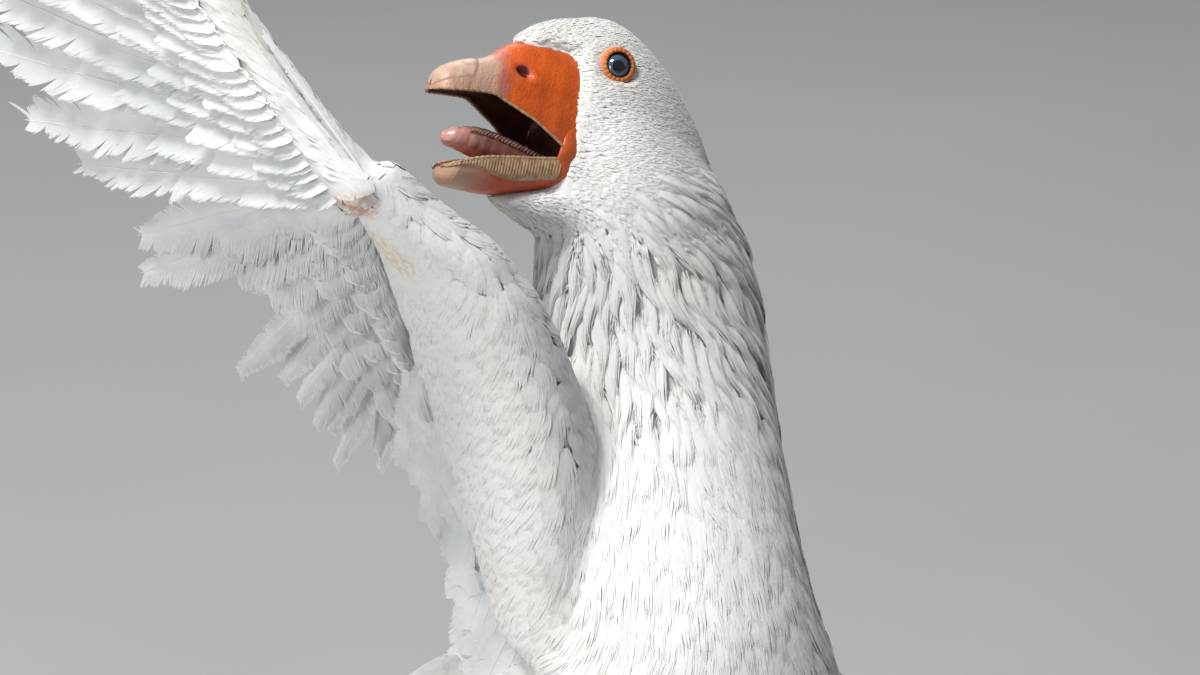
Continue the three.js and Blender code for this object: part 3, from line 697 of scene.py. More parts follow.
def clothe(coat, skin, roots, templates, length, half_width, height, stray, seed, seat, steps=4, vary=0.1):
    """Roots clothed with a choice of templates, each a little different in size and way; sizes in mm."""
    rng = np.random.default_rng(seed)
    count = len(roots["place"])
    size = rng.uniform(0.82, 1.18, count)
    lines, normals = skin.trace(roots, length * size, steps, stray, seed)
    lift = roots["depth"] / MM * rng.uniform(1 - vary, 1.05, count)
    choice = rng.integers(0, len(templates), count)
    for index, template in enumerate(templates):
        mine = choice == index
        coat.add(template, lines[mine], normals[mine], roots["uv"][mine], (half_width * size)[mine],
                 (height * size)[mine], lift[mine], TUFT_DROOP, seat)


def bareness(local):
    """Where the head has no feathers: under the bill's horn, in the mouth and inside the eye rings."""
    x, y, z = local.T
    under_horn = ramp(x, -68, -65) * ramp(z, 34.5, 33) * ramp(z, -37, -34)
    mouth = ramp(x, -76, -73) * ramp(np.abs(y), 19, 17) * ramp(z, 28, 26) * ramp(z, -37, -34)
    rings = [np.linalg.norm(local - (EYE_SEAT + EYE_OUT * 5) * (1, side, 1), axis=1) for side in (1, -1)]
    return np.max([under_horn, mouth, ramp(np.minimum(*rings), 9.2, 8.6)], axis=0)


def dress(skin):
    """The coat over the skin, region by region."""
    rng = np.random.default_rng(11)
    share, x, y, high = skin.share, skin.local[:, 0], skin.body[:, 1], skin.body[:, 2]
    neck = share["neck"] + share["head"] * ramp(high, 640, 625) * ramp(x, -90, -100)
    ridged = neck * ramp(high, 505, 535)
    body = sum(share[node] for node in ("trunk", "tail", "thigh_left", "thigh_right", "wing_left_arm"))
    wing = share["wing_right_arm"] + share["wing_right_hand"]
    loose = np.clip(neck + share["trunk"] * ramp(y, 60, -60) + wing, 0, 1)

    def cover(name, *beds):
        """Beds of (roots, number of templates, template) with their measures, as one region's coat."""
        coat = Coat(name, "coat")
        for roots, number, template, measures in beds:
            clothe(coat, skin, roots, [template(rng) for _ in range(number)], **measures)
        coat.flush()

    roots = skin.roots(share["head"] * (1 - bareness(skin.local)), 1.4, 1)
    back = ramp(roots["local"][:, 0], -64, -84)  # the tufts are shortest beside the bill
    cover("head", (roots, 8, tuft, dict(
        length=mix(3.4, 5.6, back), half_width=mix(0.55, 0.85, back), height=0.24, stray=5, seed=2, steps=1,
        seat=0.45, vary=0.05)))
    cover("neck",
          (spaced(skin.roots(ridged, 2.1, 3), 4.2, 9), 8, lock, dict(
              length=30, half_width=2.9, height=1.7, stray=6, seed=4, steps=5, seat=0.15)),
          (spaced(skin.roots(neck - ridged, 3, 5), 4.6, 7), 6, petal, dict(
              length=24, half_width=5.5, height=1.0, stray=7, seed=6, seat=0.6)))
    cover("body", (spaced(skin.roots(body, 4, 7), 6.6, 9.5), 8, petal, dict(
        length=28, half_width=8, height=1.2, stray=7, seed=8, seat=0.55)))
    cover("wing", (spaced(skin.roots(wing, 2.4, 9), 3.4, 6), 8, partial(petal, strands=13), dict(
        length=21, half_width=4.4, height=0.6, stray=5, seed=10, seat=0.65, vary=0.08)))
    cover("down", (skin.roots(loose, 5.5, 12), 8, wisps, dict(
        length=11, half_width=1.6, height=0.5, stray=14, seed=13, steps=2, seat=0.6, vary=0.18)))


# ---- flight feathers

# [root, way, length] of the first and the last feather of each fan, in mm in the body's own frame.
FANS = {
    "secondaries": ((WRIST_BACK, (-0.479, 0.844, -0.243), 178), (ELBOW, (0.21, 0.68, -0.70), 168)),
    "tertials": ((mix(ELBOW, SHOULDER_BACK, 0.1), (0.128, 0.584, -0.794), 92),
                 (mix(ELBOW, SHOULDER_BACK, 0.72), (0.18, 0.518, -0.837), 46)),
    "axillars": ((mix(ELBOW, SHOULDER_BACK, 0.6), (0.02, 0.28, -0.95), 60),
                 (mix(ELBOW, SHOULDER_BACK, 1.15), (-0.3, 0.3, -0.9), 75)),
    "primaries": ((WRIST + 6 * HAND_ALONG + 15 * HAND_BACK, (-0.478, 0.855, -0.2), 195),
                  (WRIST + 0.95 * HAND_LENGTH * HAND_ALONG + 6 * HAND_BACK, (-0.52, 0.45, 0.73), 290)),
    "alula": ((WRIST + 12 * HAND_ALONG - 3 * HAND_BACK, HAND_ALONG - 0.05 * HAND_BACK, 92),
              (WRIST + 16 * HAND_ALONG - 12 * HAND_BACK, HAND_ALONG - 0.02 * HAND_BACK, 80)),
    "left_secondaries": (((62, 118, 328), (-0.13, 0.94, -0.34), 150),
                         ((110, 118, 238), (-0.38, 0.92, -0.1), 112)),
    "left_primaries": (((48, 200, 262), (-0.13, 0.95, -0.3), 182),
                       ((66, 200, 234), (-0.24, 0.96, -0.16), 160)),
    "tail": (((-36, 292, 179), (-0.27, 0.95, -0.02), 108), ((36, 292, 179), (0.27, 0.95, -0.02), 108)),
}


def row(name, count, reach=1.0, level=0.0, wide=0.8, tilt=-28, back=0.0, curl=0.0, bow=(0, 0, 0),
        ends=(0, 1), hurry=1.0, **style):
    """A row of a fan's feathers: the line, normals, length and half width of each, and the row's manner.

    The row takes the stretch `ends` of its fan. Its feathers are `reach` of their full length long, stand
    `back` mm behind their roots and `level` mm above the fan, and are `wide` times as wide as their room.
    """
    (root_a, way_a, length_a), (root_b, way_b, length_b) = (
        (np.array(root, float) - back * unit(way), np.array(way, float), length * reach)
        for root, way, length in FANS[name])
    along = np.linspace(0, 1, 11)[None, :, None]

    def line(s):
        s = s[:, None, None]
        root = mix(root_a, root_b, s) + 4 * s * (1 - s) * np.array(bow)
        way = unit(mix(way_a, way_b, s.clip(0) ** hurry))
        length = mix(length_a, length_b, s)
        return root + way * length * along, way, length

    step = (ends[1] - ends[0]) / count
    s = mix(ends[0], ends[1], (np.arange(count) + 0.5) / count)
    points, way, length = line(s)
    across = line(s + 0.02)[0] - line(s - 0.02)[0]
    normal = unit(np.cross(np.broadcast_to(way, points.shape), across))
    room = np.linalg.norm(line(s + step)[0] - points, axis=2)[:, 5]
    points = points + normal * (curl * reach) * length * along ** 2
    return zip(points, normal, length[:, 0, 0], wide * room), count, level, math.radians(tilt), style


VANE_START, VANE = 0.05, 0.86  # where the barbs' roots begin, and how much of the shaft they take
BARB_STEPS = (0, 0.3, 0.6, 0.84, 1)
BUNCH_SIZES = (3, 13)
SWERVE, WAVER, LEAN, LOOSE = 0.022, 0.018, 0.07, 0.5  # how unevenly the quills of a row stand


def plume(rng, length, half_width, pitch=1.2, lead=0.62, fray=1.0, cup=0.12, blunt=0.5):
    """A flight feather, in mm across and above: barbs that bunch along the edge and part at the tip."""
    count = int(VANE * length / pitch)
    paths = []
    for sign, room in ((-1, lead), (1, 1.0)):
        ends = np.cumsum(rng.integers(*BUNCH_SIZES, count)) / count
        size = rng.uniform(1 - 0.16 * fray, 1.05, count + 1)
        skew = rng.normal(0, 0.012, count + 1) * fray
        for index in range(count):
            root = VANE_START + VANE * (index + 0.5) / count
            bunch = int(np.searchsorted(ends, (index + 0.5) / count))
            low = ends[bunch - 1] if bunch else 0.0
            middle = VANE_START + VANE * min((low + ends[bunch]) / 2, 1)
            shape = ramp(root, -0.1, 0.25) * (1 - (1 - blunt) * ramp(root, 0.6, 0.93))
            reach = half_width * room * shape * size[bunch] * rng.uniform(0.93, 1.03)
            sweep = min((0.75 + 0.75 * root) * reach / length, 0.995 - root)
            pull = (middle - root) * rng.uniform(0.15, 0.5) * fray + skew[bunch]
            rows = []
            for t in BARB_STEPS:
                end = 1 - 0.7 * (reach * t) ** 2 / (half_width * length)
                rows.append((min(root + sweep * t ** 1.25 + pull * t * t, end), sign * reach * t ** 0.92,
                             -cup * reach * t * t + rng.normal(0, 0.12) * t, pitch * (0.58 - 0.48 * t ** 3)))
            paths.append(rows)
    return strips(paths, length)


def shaft(thickness):
    """A feather's tapered shaft, in mm across and above."""
    along = np.linspace(0, 0.93, 9)[:, None]
    angle = np.arange(5) / 5 * math.tau
    radius = thickness * (1 - 0.85 * along)
    return sheet(stack(along, radius * np.cos(angle), radius * np.sin(angle)), True)


def flight(name, rows, replaced, seed):
    """The plumes of some rows, each with its shaft."""
    rng = np.random.default_rng(seed)
    vanes, shafts = Coat(name, "flight", replaced), Coat(name + "_shafts", "quill")
    columns = math.ceil(math.sqrt(sum(count for _, count, *_ in rows)))
    number = 0
    for feathers, _, level, tilt, style in rows:
        for line, normal, length, half in feathers:
            way = unit(line[-1] - line[0])
            side = np.cross(normal, way)
            along = np.linspace(0, 1, len(line))[:, None]
            line = line + side * rng.normal(0, SWERVE) * length * along ** 2 + normal * (
                level + rng.normal(0, LOOSE) + rng.normal(0, WAVER) * length * along ** 2)
            line = line[0] + (line - line[0]) * rng.uniform(0.88, 1.03)
            lean = tilt + rng.normal(0, LEAN)
            normal = unit(normal * math.cos(lean) + side * math.sin(lean))
            template = plume(rng, length, half, **style)
            cell = np.array((number % columns + 0.5, number // columns + 0.05)) / columns
            patch = stack(template[0][:, 1] / half * 0.4, template[0][:, 0] * 0.9) / columns
            vanes.add(template, world(line)[None], normal[None], cell[None], patch=patch)
            shafts.add(shaft(0.3 + length * 0.0035), world(line)[None], normal[None], cell[None])
            number += 1
    vanes.flush()
    shafts.flush()


def spread_wing():
    """The quills of the raised wing, and of its pit."""
    secondary = partial(row, "secondaries", curl=0.06, hurry=0.6)
    vane = partial(secondary, tilt=-34, cup=0.25)
    flight("secondaries", [
        vane(2, wide=1.1, back=8, ends=(0, 2 / 14), cup=0.2, fray=0.6, blunt=0.35),
        vane(3, 0.62, wide=1.0, back=8, ends=(2 / 14, 5 / 14), cup=0.2, fray=0.6),
        vane(8, 1.04, wide=0.8, back=8, ends=(5 / 14, 1), fray=0.4, blunt=0.4),
        vane(9, 0.62, 4, 0.95, back=10, fray=0.4, blunt=0.7),
        vane(11, 0.42, 6.5, 1.1, back=14, fray=0.25, blunt=0.85),
        vane(14, 0.28, 9, 1.3, back=18, fray=0.25, blunt=0.85),
        secondary(14, 0.60, -3.5, 1.1, back=8, fray=0.6),
        secondary(16, 0.38, -6, 1.1, back=12, fray=0.6),
    ], ("wing_right_secondaries",), 21)
    tertial = partial(row, "tertials", curl=0.05)
    flight("tertials", [
        tertial(6, 1.05, wide=1.3, tilt=8, back=8, fray=0.4, blunt=0.6),
        tertial(8, 0.75, 3.0, 1.5, tilt=6, back=20, fray=0.25, blunt=0.7),
        tertial(10, 0.5, 5.5, 1.8, tilt=4, back=30, fray=0.2, blunt=0.8),
        tertial(6, 0.6, -4, 1.4, back=10, fray=0.6),
    ], ("wing_right_tertials",), 22)
    axillar = partial(row, "axillars", curl=0.05)
    flight("axillars", [
        axillar(7, wide=1.3, tilt=8, back=10, fray=0.7, blunt=0.6),
        axillar(8, 0.72, 3, 1.4, tilt=6, back=16, fray=0.5, blunt=0.7),
    ], (), 27)
    primary = partial(row, "primaries", curl=0.07)
    covert = partial(primary, fray=0.3, blunt=0.85)
    flight("primaries", [
        primary(10, wide=0.85, tilt=-18, back=8, blunt=0.35),
        primary(10, 0.52, -3.5, 0.9, tilt=-22, back=12, fray=0.5, blunt=0.7),
        covert(12, 0.34, -6, 1.0, tilt=-24, back=16),
        covert(16, 0.22, -8, 1.3, tilt=-24, back=20),
        covert(22, 0.16, -11, 1.7, tilt=-20, back=14, curl=1.2),
        primary(12, 0.5, 3.5, 1.0, tilt=-15, back=10, fray=0.6),
        primary(16, 0.28, 6, 1.0, tilt=-15, back=12, fray=0.6),
    ], ("wing_right_primaries",), 23)
    alula = row("alula", 2, level=-4, wide=1.1, tilt=0, back=10)
    flight("alula", [alula], ("wing_right_alula",), 26)


def folded_wing():
    secondary = partial(row, "left_secondaries", tilt=6, bow=(14, 2, 8), fray=0.3, cup=-0.1, blunt=0.85)
    flight("left_wing", [
        secondary(8, 1.0, wide=1.1, back=12),
        secondary(9, 0.76, -3, 1.1, back=22),
        secondary(11, 0.56, -5.5, 1.2, back=32),
        row("left_primaries", 5, tilt=6, wide=1.2, back=24, fray=0.4, cup=-0.1, blunt=0.6),
    ], ("wing_left_secondaries", "wing_left_primaries"), 24)


def tail_fan():
    quill = partial(row, "tail", tilt=4, bow=(0, 24, 4), fray=0.3, blunt=0.85)
    flight("tail", [
        quill(11, wide=1.0, back=10),
        quill(10, 0.62, -3, 1.1, back=24, cup=-0.1),
        quill(12, 0.45, -6, 1.2, back=34, cup=-0.1),
        quill(10, 0.62, 3, 1.1, back=24),
        quill(12, 0.45, 6, 1.2, back=34),
    ], ("tail_feathers",), 25)


# ---- bill, tongue and eyes
# These are made in the head's own frame, in mm, with the bill's tip near its origin.

# [x, top, edge, half width] along the upper bill, and [x, edge, bottom, half width] along the lower.
UPPER_BILL = [(-70, 35.2, -17, 20), (-50, 33.5, -6, 17), (-40, 32, -2, 14.5), (-33, 26.5, 0.5, 13),
              (-26, 21.3, 2.5, 12), (-12, 15.8, 0.8, 11), (-4, 11.5, -0.6, 9.5), (2, 8, -1.2, 8.5)]
LOWER_BILL = [(-68, -18, -33, 17), (-55, -21, -37, 15), (-40, -24, -41, 13), (-26, -27.5, -42.5, 11.5),
              (-15, -32, -43, 10), (-8, -36, -42.5, 8)]
# [position, height, half width] down the corner of the mouth.
CORNER = [(0, -2, 19.9), (0.4, -12, 20), (0.55, -16.5, 19.5), (0.65, -20, 17.3), (0.82, -26, 15.5),
          (0.94, -30, 12), (1, -32, 9)]
# [x, top, bottom, half width] along the tongue.
TONGUE = [(-66, -17, -27, 7), (-45, -13, -29, 7.5), (-28, -12, -26, 7), (-16, -14.5, -24.5, 6.5),
          (-7, -18, -24, 5)]
UPPER_TIP, LOWER_TIP, TONGUE_TIP = 1.2, -9.5, -8.5
OVER, LINING = np.linspace(0, 180, 81)[None], np.linspace(0, 180, 65)[None]  # angles round an arch
NOSTRIL = np.array((-40.2, 9.8, 16.5))

EYE_RADIUS, EYE_BULGE = 8.0, 0.7
EYE_SEAT = np.array((-85.2, 19.4, 30.2))  # the left eye's centre
EYE_OUT = unit((0.25, 0.965, 0.03))  # the way its lids face
EYE_LOOK = unit((0.34, 0.93, -0.14))  # the way it looks
# [radius, height] over an eye's ring of bare skin, from the ball outwards.
LID = [(5.75, 5.3), (5.8, 6.1), (6.1, 6.65), (6.6, 6.95), (7.2, 6.95), (7.9, 6.5), (8.5, 5.8), (9.0, 4.6),
       (9.3, 3.0)]
LID_BEADS = 20


def blunt(x, tip, room=6):
    """How a form closes roundly over the last `room` mm before its tip."""
    return np.sqrt(np.clip(1 - (np.maximum(x - (tip - room), 0) / room) ** 2, 0, 1))


def arch(upper, x, angle, inset=0.0, hollow=1.0, short=0.0):
    """Points of the upper or the lower bill's arch at x, from one edge (0) over to the other (180)."""
    table, tip = (UPPER_BILL, UPPER_TIP) if upper else (LOWER_BILL, LOWER_TIP)
    x, angle = np.broadcast_arrays(np.asarray(x, float), np.radians(angle))
    rows = between(table, x.ravel()).reshape(*x.shape, 3)
    crown, edge = (rows[..., 0], rows[..., 1]) if upper else (rows[..., 1], rows[..., 0])
    close = blunt(x, tip - short)
    half = rows[..., 2] * close
    rise = (crown - edge) * (0.4 + 0.6 * close) * hollow
    boxy = mix(0.8, 0.5, ramp(x, -40, -58)) if upper else 0.75
    sine, cosine = np.sin(angle).clip(0), np.cos(angle)
    y = np.sign(cosine) * np.abs(cosine) ** (boxy + 0.15) * np.maximum(half - inset, 0)
    z = edge + sine ** boxy * (rise - np.sign(rise) * inset)
    return stack(x, y, z)


def tip_spaced(start, tip, count):
    """Positions from start to tip that stand closer near the tip."""
    return (start + (tip - start) * np.sin(np.linspace(0, 1, count) * math.pi / 2) ** 0.9)[:, None]


def head_piece(name, kind, *blocks, replaced=()):
    """One object in the head's frame from blocks of (points in mm, faces)."""
    points, faces = joined(blocks)
    finish_piece(add_object(name, build_mesh(name, points * MM, faces), HEAD_FRAME), kind, replaced)


def circle(way, level, count):
    """Directions round a way (or round each of some), and their angles."""
    way = unit(way)[..., None, :]
    angle = np.arange(count) / count * math.tau
    first = unit(np.cross(way, level))
    return first * np.cos(angle)[:, None] + np.cross(way, first) * np.sin(angle)[:, None], angle


def pipe(path, radii, sides=10):
    """A round tube along a path."""
    ring, _ = circle(np.gradient(path, axis=0), (0.13, 0.2, 1), sides)
    return sheet(np.asarray(path)[:, None] + ring * np.asarray(radii)[:, None, None], True)


def rim(edge, tip, thick, swell, pace):
    """A horny edge that swells and shrinks a little on its way to a tip."""
    return pipe(edge, (thick + swell * np.sin(edge[:, 0] * pace)) * blunt(edge[:, 0], tip + 1, 4))


def normals_of(grid):
    return unit(np.cross(np.gradient(grid, axis=1), np.gradient(grid, axis=0)))


def uneven(values, seed, scale):
    """Smooth irregular numbers along values."""
    rng = np.random.default_rng(seed)
    return sum(np.sin(values / scale * 1.9 ** octave + rng.uniform(0, 6.3)) * 0.5 ** octave
               for octave in range(4))


def make_upper_bill():
    """The upper bill with its nostrils, its comb-edged lining and its horny edges."""
    x = tip_spaced(-70, UPPER_TIP, 120)
    shell = arch(True, x, OVER)
    ahead, above = shell[..., 0] - NOSTRIL[0], shell[..., 2] - NOSTRIL[2]
    away = np.hypot((ahead * 0.94 + above * 0.34) / 4.2, (above * 0.94 - ahead * 0.34) / 2.5)
    pit = -2.4 * ramp(away, 1.15, 0.35) + 0.45 * np.exp(-((away - 1.6) / 0.4) ** 2)
    relief = 0.18 * uneven(x * 1.3 + OVER * 0.09, 1, 4.0) * ramp(x, 0, -20) + pit
    shell = shell + normals_of(shell) * relief[..., None]
    head_piece("bill_upper_shell", "bill", sheet(shell), replaced=("bill_upper",))

    palate = arch(True, np.minimum(x, UPPER_TIP - 0.6), LINING, 0.8, 0.42, 0.5)
    comb = 0.5 * np.abs(np.sin(math.pi * x / 1.7)) * ramp(np.abs(LINING - 90), 50, 80)
    palate = palate - normals_of(palate) * comb[..., None]
    palate[:, 0], palate[:, -1] = shell[:, 0], shell[:, -1]
    head_piece("palate", "palate", sheet(palate[:, ::-1]))

    rims = [rim(shell[2:-5, side] + (0, 0, 0.25), UPPER_TIP, 0.65, 0.1, 2.1) for side in (0, -1)]
    head_piece("bill_margin", "horn", *rims)


def make_nail():
    """The pale nail over the upper bill's tip."""
    u, v = np.linspace(0, 1, 40)[:, None], np.linspace(14, 166, 61)[None]
    back = -21.5 + 7 * np.abs(np.cos(np.radians(v))) ** 2.2 + 0.3 * np.sin(np.radians(v * 7))
    along = mix(back, UPPER_TIP - 0.02, np.sin(u * math.pi / 2))
    nail = arch(True, along, v)
    edge = np.minimum(ramp(u, 0, 0.1), ramp(np.minimum(v - 14, 166 - v), 0, 12))
    nail = nail + normals_of(nail) * (0.75 * edge - 0.3 + 0.04 * uneven(along, 8, 1.2))[..., None]
    head_piece("bill_nail_plate", "nail", sheet(nail), replaced=("bill_nail",))


def make_lower_bill():
    """The lower bill, its floor, and its comb of lamellae under a horny edge."""
    x = tip_spaced(-68, LOWER_TIP, 100)
    shell = arch(False, x, OVER)
    head_piece("bill_lower_shell", "bill_low", sheet(shell[:, ::-1]), replaced=("bill_lower",))
    floor = arch(False, x, LINING, 1.2, 0.5)
    floor[:, 0], floor[:, -1] = shell[:, 0], shell[:, -1]
    head_piece("bill_floor", "gum", sheet(floor))

    x = np.linspace(-66, LOWER_TIP - 1.0, 240)[:, None]
    down = np.linspace(0, 1, 9)[None]
    depth = mix(34, 6, ramp(x, -46, -14))
    ridge = 0.45 + 0.4 * np.abs(np.sin(math.pi * x / 1.55)) * np.sin(math.pi * (0.12 + 0.8 * down))
    ridge = ridge * np.minimum(1, 4 * (1 - down) + 0.02)
    bands = []
    for column, start, side in ((0, 0, 1), (-1, 180, -1)):
        band = arch(False, x, np.abs(start - depth * down))
        out = normals_of(band)
        out = out * np.sign(np.sum(out * (0, side, 0.01), -1, keepdims=True))
        bands.append(sheet(band + out * ridge[..., None]))
        bands.append(rim(shell[2:-6, column], LOWER_TIP, 0.8, 0.15, 2.4))
    head_piece("bill_lamellae", "horn", *bands)


def make_mouth_corners():
    """A band of skin that joins the bill's halves at each corner of the mouth."""
    s, t = np.linspace(0, 1, 60)[:, None], np.linspace(-1, 1, 25)[None]
    bulge = np.sqrt(1 - t * t) * np.sin(math.pi * s) ** 0.7
    x = mix(-72.0, -66 + 3 * np.sin(math.pi * s), (t + 1) / 2)
    z, out = (column[:, None] for column in between(CORNER, s.ravel()).T)
    out = out - 0.15 * (x + 68) + 2.1 * bulge - 0.9 + 0.12 * uneven(s * 60 + t * 2, 4, 3) * bulge
    head_piece("bill_corners", "bill", *(sheet(stack(x, side * out, z)) for side in (1, -1)))


def make_tongue():
    """The tongue, grooved along its middle, with a row of horny spines on each side."""
    x = tip_spaced(-66, TONGUE_TIP, 90)
    angle = np.linspace(0, 360, 49)[None, :-1]
    top, bottom, half = (column[:, None] for column in between(TONGUE, x.ravel()).T)
    close = blunt(x, TONGUE_TIP)
    cosine, sine = np.cos(np.radians(angle)), np.sin(np.radians(angle))
    y = np.sign(cosine) * np.abs(cosine) ** 0.8 * (half * (0.2 + 0.8 * close)) * close
    groove = 0.8 * np.exp(-(y / 1.2) ** 2) * (sine > 0) * ramp(x, -10, -20)
    z = (top + bottom) / 2 + np.sign(sine) * np.abs(sine) ** 0.85 * ((top - bottom) / 2 * close) - groove
    body = stack(x, y, z)
    body = body + normals_of(body) * (0.12 * uneven(x * 1.7 + angle * 0.06, 3, 1.6))[..., None]
    spines = []
    for side in (1, -1):
        for at in np.arange(-62, -20, 1.9):
            top, bottom, half = between(TONGUE, at)[0]
            start = np.array((at, side * half * 0.93, mix(bottom, top, 0.72)))
            tip = start + np.array((-1.6, side * 1.2, 1.9))
            spines.append(pipe([start, mix(start, tip, 0.5), tip], [0.75, 0.5, 0.06], 6))
    head_piece("tongue_body", "tongue", sheet(body, True), replaced=("tongue",))
    head_piece("tongue_spines", "spine", *spines)


def lathe(profile, seat, axis, count=72, bead=0.0):
    """A form of revolution, from rows [radius, height] about an axis through its seat."""
    ring, angle = circle(axis, (0, 0, 1), count)
    swell = np.sin(math.pi * np.linspace(0, 1, len(profile)))[:, None]
    height = profile[:, 1, None] + bead * np.sin(angle * LID_BEADS) * swell
    return sheet(seat + ring * profile[:, 0, None, None] + axis * height[..., None], True)


def make_eyes():
    """The eyeballs, with a bulge over the iris, and their rings of beaded skin."""
    angle = np.radians(np.concatenate([np.linspace(0.05, 45, 60), np.linspace(47, 110, 24)]))
    radius = EYE_RADIUS + EYE_BULGE * np.clip(1 - (np.degrees(angle) / 44) ** 2, 0, 1)
    ball = stack(radius * np.sin(angle), radius * np.cos(angle))
    lid = between([(index, *knot) for index, knot in enumerate(LID)], np.linspace(0, 8, 33))
    for side, name in ((1, "left"), (-1, "right")):
        seat, out, look = (way * (1, side, 1) for way in (EYE_SEAT, EYE_OUT, EYE_LOOK))
        head_piece(f"eyeball_{name}", "eye_" + name, lathe(ball, seat, look), replaced=(f"eye_{name}",))
        head_piece(f"eyelids_{name}", "lid_" + name, lathe(lid, seat, out, 160, 0.14))


def orange(nodes, main, deep):
    """The orange of bill and legs, uneven and with fine dark specks."""
    specks = nodes.math("MULTIPLY", nodes.steps(nodes.noise(900), 0.6, 0.75), 0.4)
    return nodes.blend(specks, nodes.mottled(main, deep, 75, high=0.7), (0.30, 0.07, 0.02))


def bill_grain(nodes):
    return nodes.math("ADD", nodes.cells(900), nodes.noise(500, 4))


def bill_material():
    """Orange that pales towards the tip, with painted shade in the nostrils and towards its lower edge."""
    nodes = Nodes("bill", 0.42, Coat_Weight=0.15, Coat_Roughness=0.35)
    base = orange(nodes, (0.70, 0.110, 0.004), (0.52, 0.070, 0.005))
    edge = nodes.uneven_x(140, 0.010, -0.005)
    base = nodes.blend(nodes.steps(edge, -0.036, -0.029, 0, 0.85), base, (0.56, 0.20, 0.14))
    base = nodes.blend(nodes.steps(edge, -0.030, -0.024), base, (0.60, 0.38, 0.27))
    for side in (1, -1):
        centre = NOSTRIL * (1, side, 1) * MM
        rim_share = nodes.math("MULTIPLY", nodes.near(centre, 0.0095), 0.35)
        base = nodes.blend(rim_share, base, (0.70, 0.12, 0.05))
        # The nostril's near-black is painted shade, the dark inside the hole.
        base = nodes.blend(nodes.near(centre, 0.0048, 0.35), base, (0.10, 0.002, 0.003))
    # Darker towards the lower edge: painted shade of the bill's down-facing side.
    low = nodes.steps(nodes.along("Z"), 0.012, -0.016, 0, 0.55)
    nodes.fill(nodes.shader, "Roughness", nodes.steps(nodes.noise(400), 0.3, 0.8, 0.34, 0.55))
    return nodes.finish(nodes.blend(low, base, (0.50, 0.09, 0.015)), bill_grain(nodes), 0.35, 0.0005)


def low_bill_material():
    nodes = Nodes("bill_low", 0.42, Coat_Weight=0.15, Coat_Roughness=0.35)
    # The lower bill's own orange-red, made darker than the upper bill's as painted shade of its down-facing
    # side.
    base = orange(nodes, (0.55, 0.075, 0.015), (0.40, 0.05, 0.018))
    tip = nodes.steps(nodes.uneven_x(160, 0.008), -0.034, -0.014)
    return nodes.finish(nodes.blend(tip, base, (0.55, 0.32, 0.22)), bill_grain(nodes), 0.3, 0.0005)


def tissue(name, light, dark, roughness, scale=150, **constants):
    """A soft, moist or horny finish between two colours."""
    nodes = Nodes(name, roughness, **constants)
    return nodes.finish(nodes.mottled(light, dark, scale), nodes.noise(scale * 5, 4))


def tongue_material():
    """Flesh that pales towards the tongue's tip."""
    nodes = Nodes("tongue", 0.35, Coat_Weight=0.5, Coat_Roughness=0.2, Subsurface_Weight=0.15)
    base = nodes.mottled((0.32, 0.11, 0.075), (0.22, 0.065, 0.045), 150)
    tip = nodes.steps(nodes.uneven_x(170, 0.01), -0.026, -0.013)
    return nodes.finish(nodes.blend(tip, base, (0.62, 0.30, 0.25)), nodes.noise(750, 4))


def eye_material(side):
    """A dark pupil, a rayed blue iris and a dark rim round it."""
    nodes = Nodes("eye", 0.06, Coat_Weight=1.0, Coat_Roughness=0.02)
    distance = nodes.distance((EYE_SEAT + EYE_LOOK * (EYE_RADIUS + EYE_BULGE)) * (1, side, 1) * MM)
    iris = nodes.blend(nodes.steps(distance, 0.003, 0.0062), (0.045, 0.09, 0.15),
                       (0.10, 0.155, 0.20))
    rays = nodes.steps(nodes.cells(900, (1, 0.3, 1)), 0.1, 0.7, 0, 0.5)
    iris = nodes.blend(rays, iris, (0.03, 0.06, 0.10))
    base = nodes.blend(nodes.steps(distance, 0.0029, 0.0033), (0.003, 0.004, 0.006), iris)
    return nodes.finish(nodes.blend(nodes.steps(distance, 0.0058, 0.0064), base, (0.012, 0.010, 0.010)))


def lid_material(side):
    """Beaded orange skin, dark at its inner edge and pale at its outer one."""
    nodes = Nodes("eyelids", 0.5)
    distance = nodes.distance((EYE_SEAT + EYE_OUT * 6.2) * (1, side, 1) * MM)
    base = nodes.blend(nodes.noise(500), (0.70, 0.19, 0.02), (0.50, 0.14, 0.03))
    base = nodes.blend(nodes.steps(distance, 0.0067, 0.0060), base, (0.06, 0.02, 0.012))
    base = nodes.blend(nodes.steps(distance, 0.0080, 0.0092, 0, 0.7), base, (0.62, 0.42, 0.30))
    return nodes.finish(base, nodes.cells(1300), 0.5)


# ---- legs


def leg_material():
    nodes = Nodes("leg_skin", 0.5, Coat_Weight=0.1, Coat_Roughness=0.4)
    return nodes.finish(orange(nodes, (0.74, 0.17, 0.02), (0.55, 0.10, 0.015)), nodes.noise(600, 4))


def make_legs():
    """The shanks and feet, with rounded scales, and the claws' finish."""
    for side in ("left", "right"):
        names = (f"shank_{side}", f"foot_{side}")
        mesh = remeshed(f"leg_{side}_scales", names, 1.3 * MM)
        points, edges, triangles, _ = mesh_arrays(mesh)
        points = spread(points, edges, 3)
        normals = point_normals(points, triangles)
        seeds = points[np.random.default_rng(31).permutation(len(points))[:len(points) // 7]]
        tree = KDTree(len(seeds))
        for index, seed in enumerate(seeds.tolist()):
            tree.insert(seed, index)
        tree.balance()
        nearest = (tree.find_n(point, 2) for point in points.tolist())
        gap = np.array([second[2] - first[2] for first, second in nearest]) / MM
        scale = 0.55 * ramp(gap, 0, 1.3) * ramp(points[:, 2] / MM, 0.5, 2.5)
        points = points + normals * (scale - 0.3)[:, None] * MM
        points[:, 2] = np.maximum(points[:, 2], 0.2 * MM)
        shape_mesh(mesh, points)
        finish_piece(add_object(f"leg_{side}", mesh), "leg", names)
        for toe in (1, 2, 3):
            for slot in frame["nodes"][f"claw_{side}_{toe}"].material_slots:
                slot.material = finishes["claw"][0]


# ---- light and camera

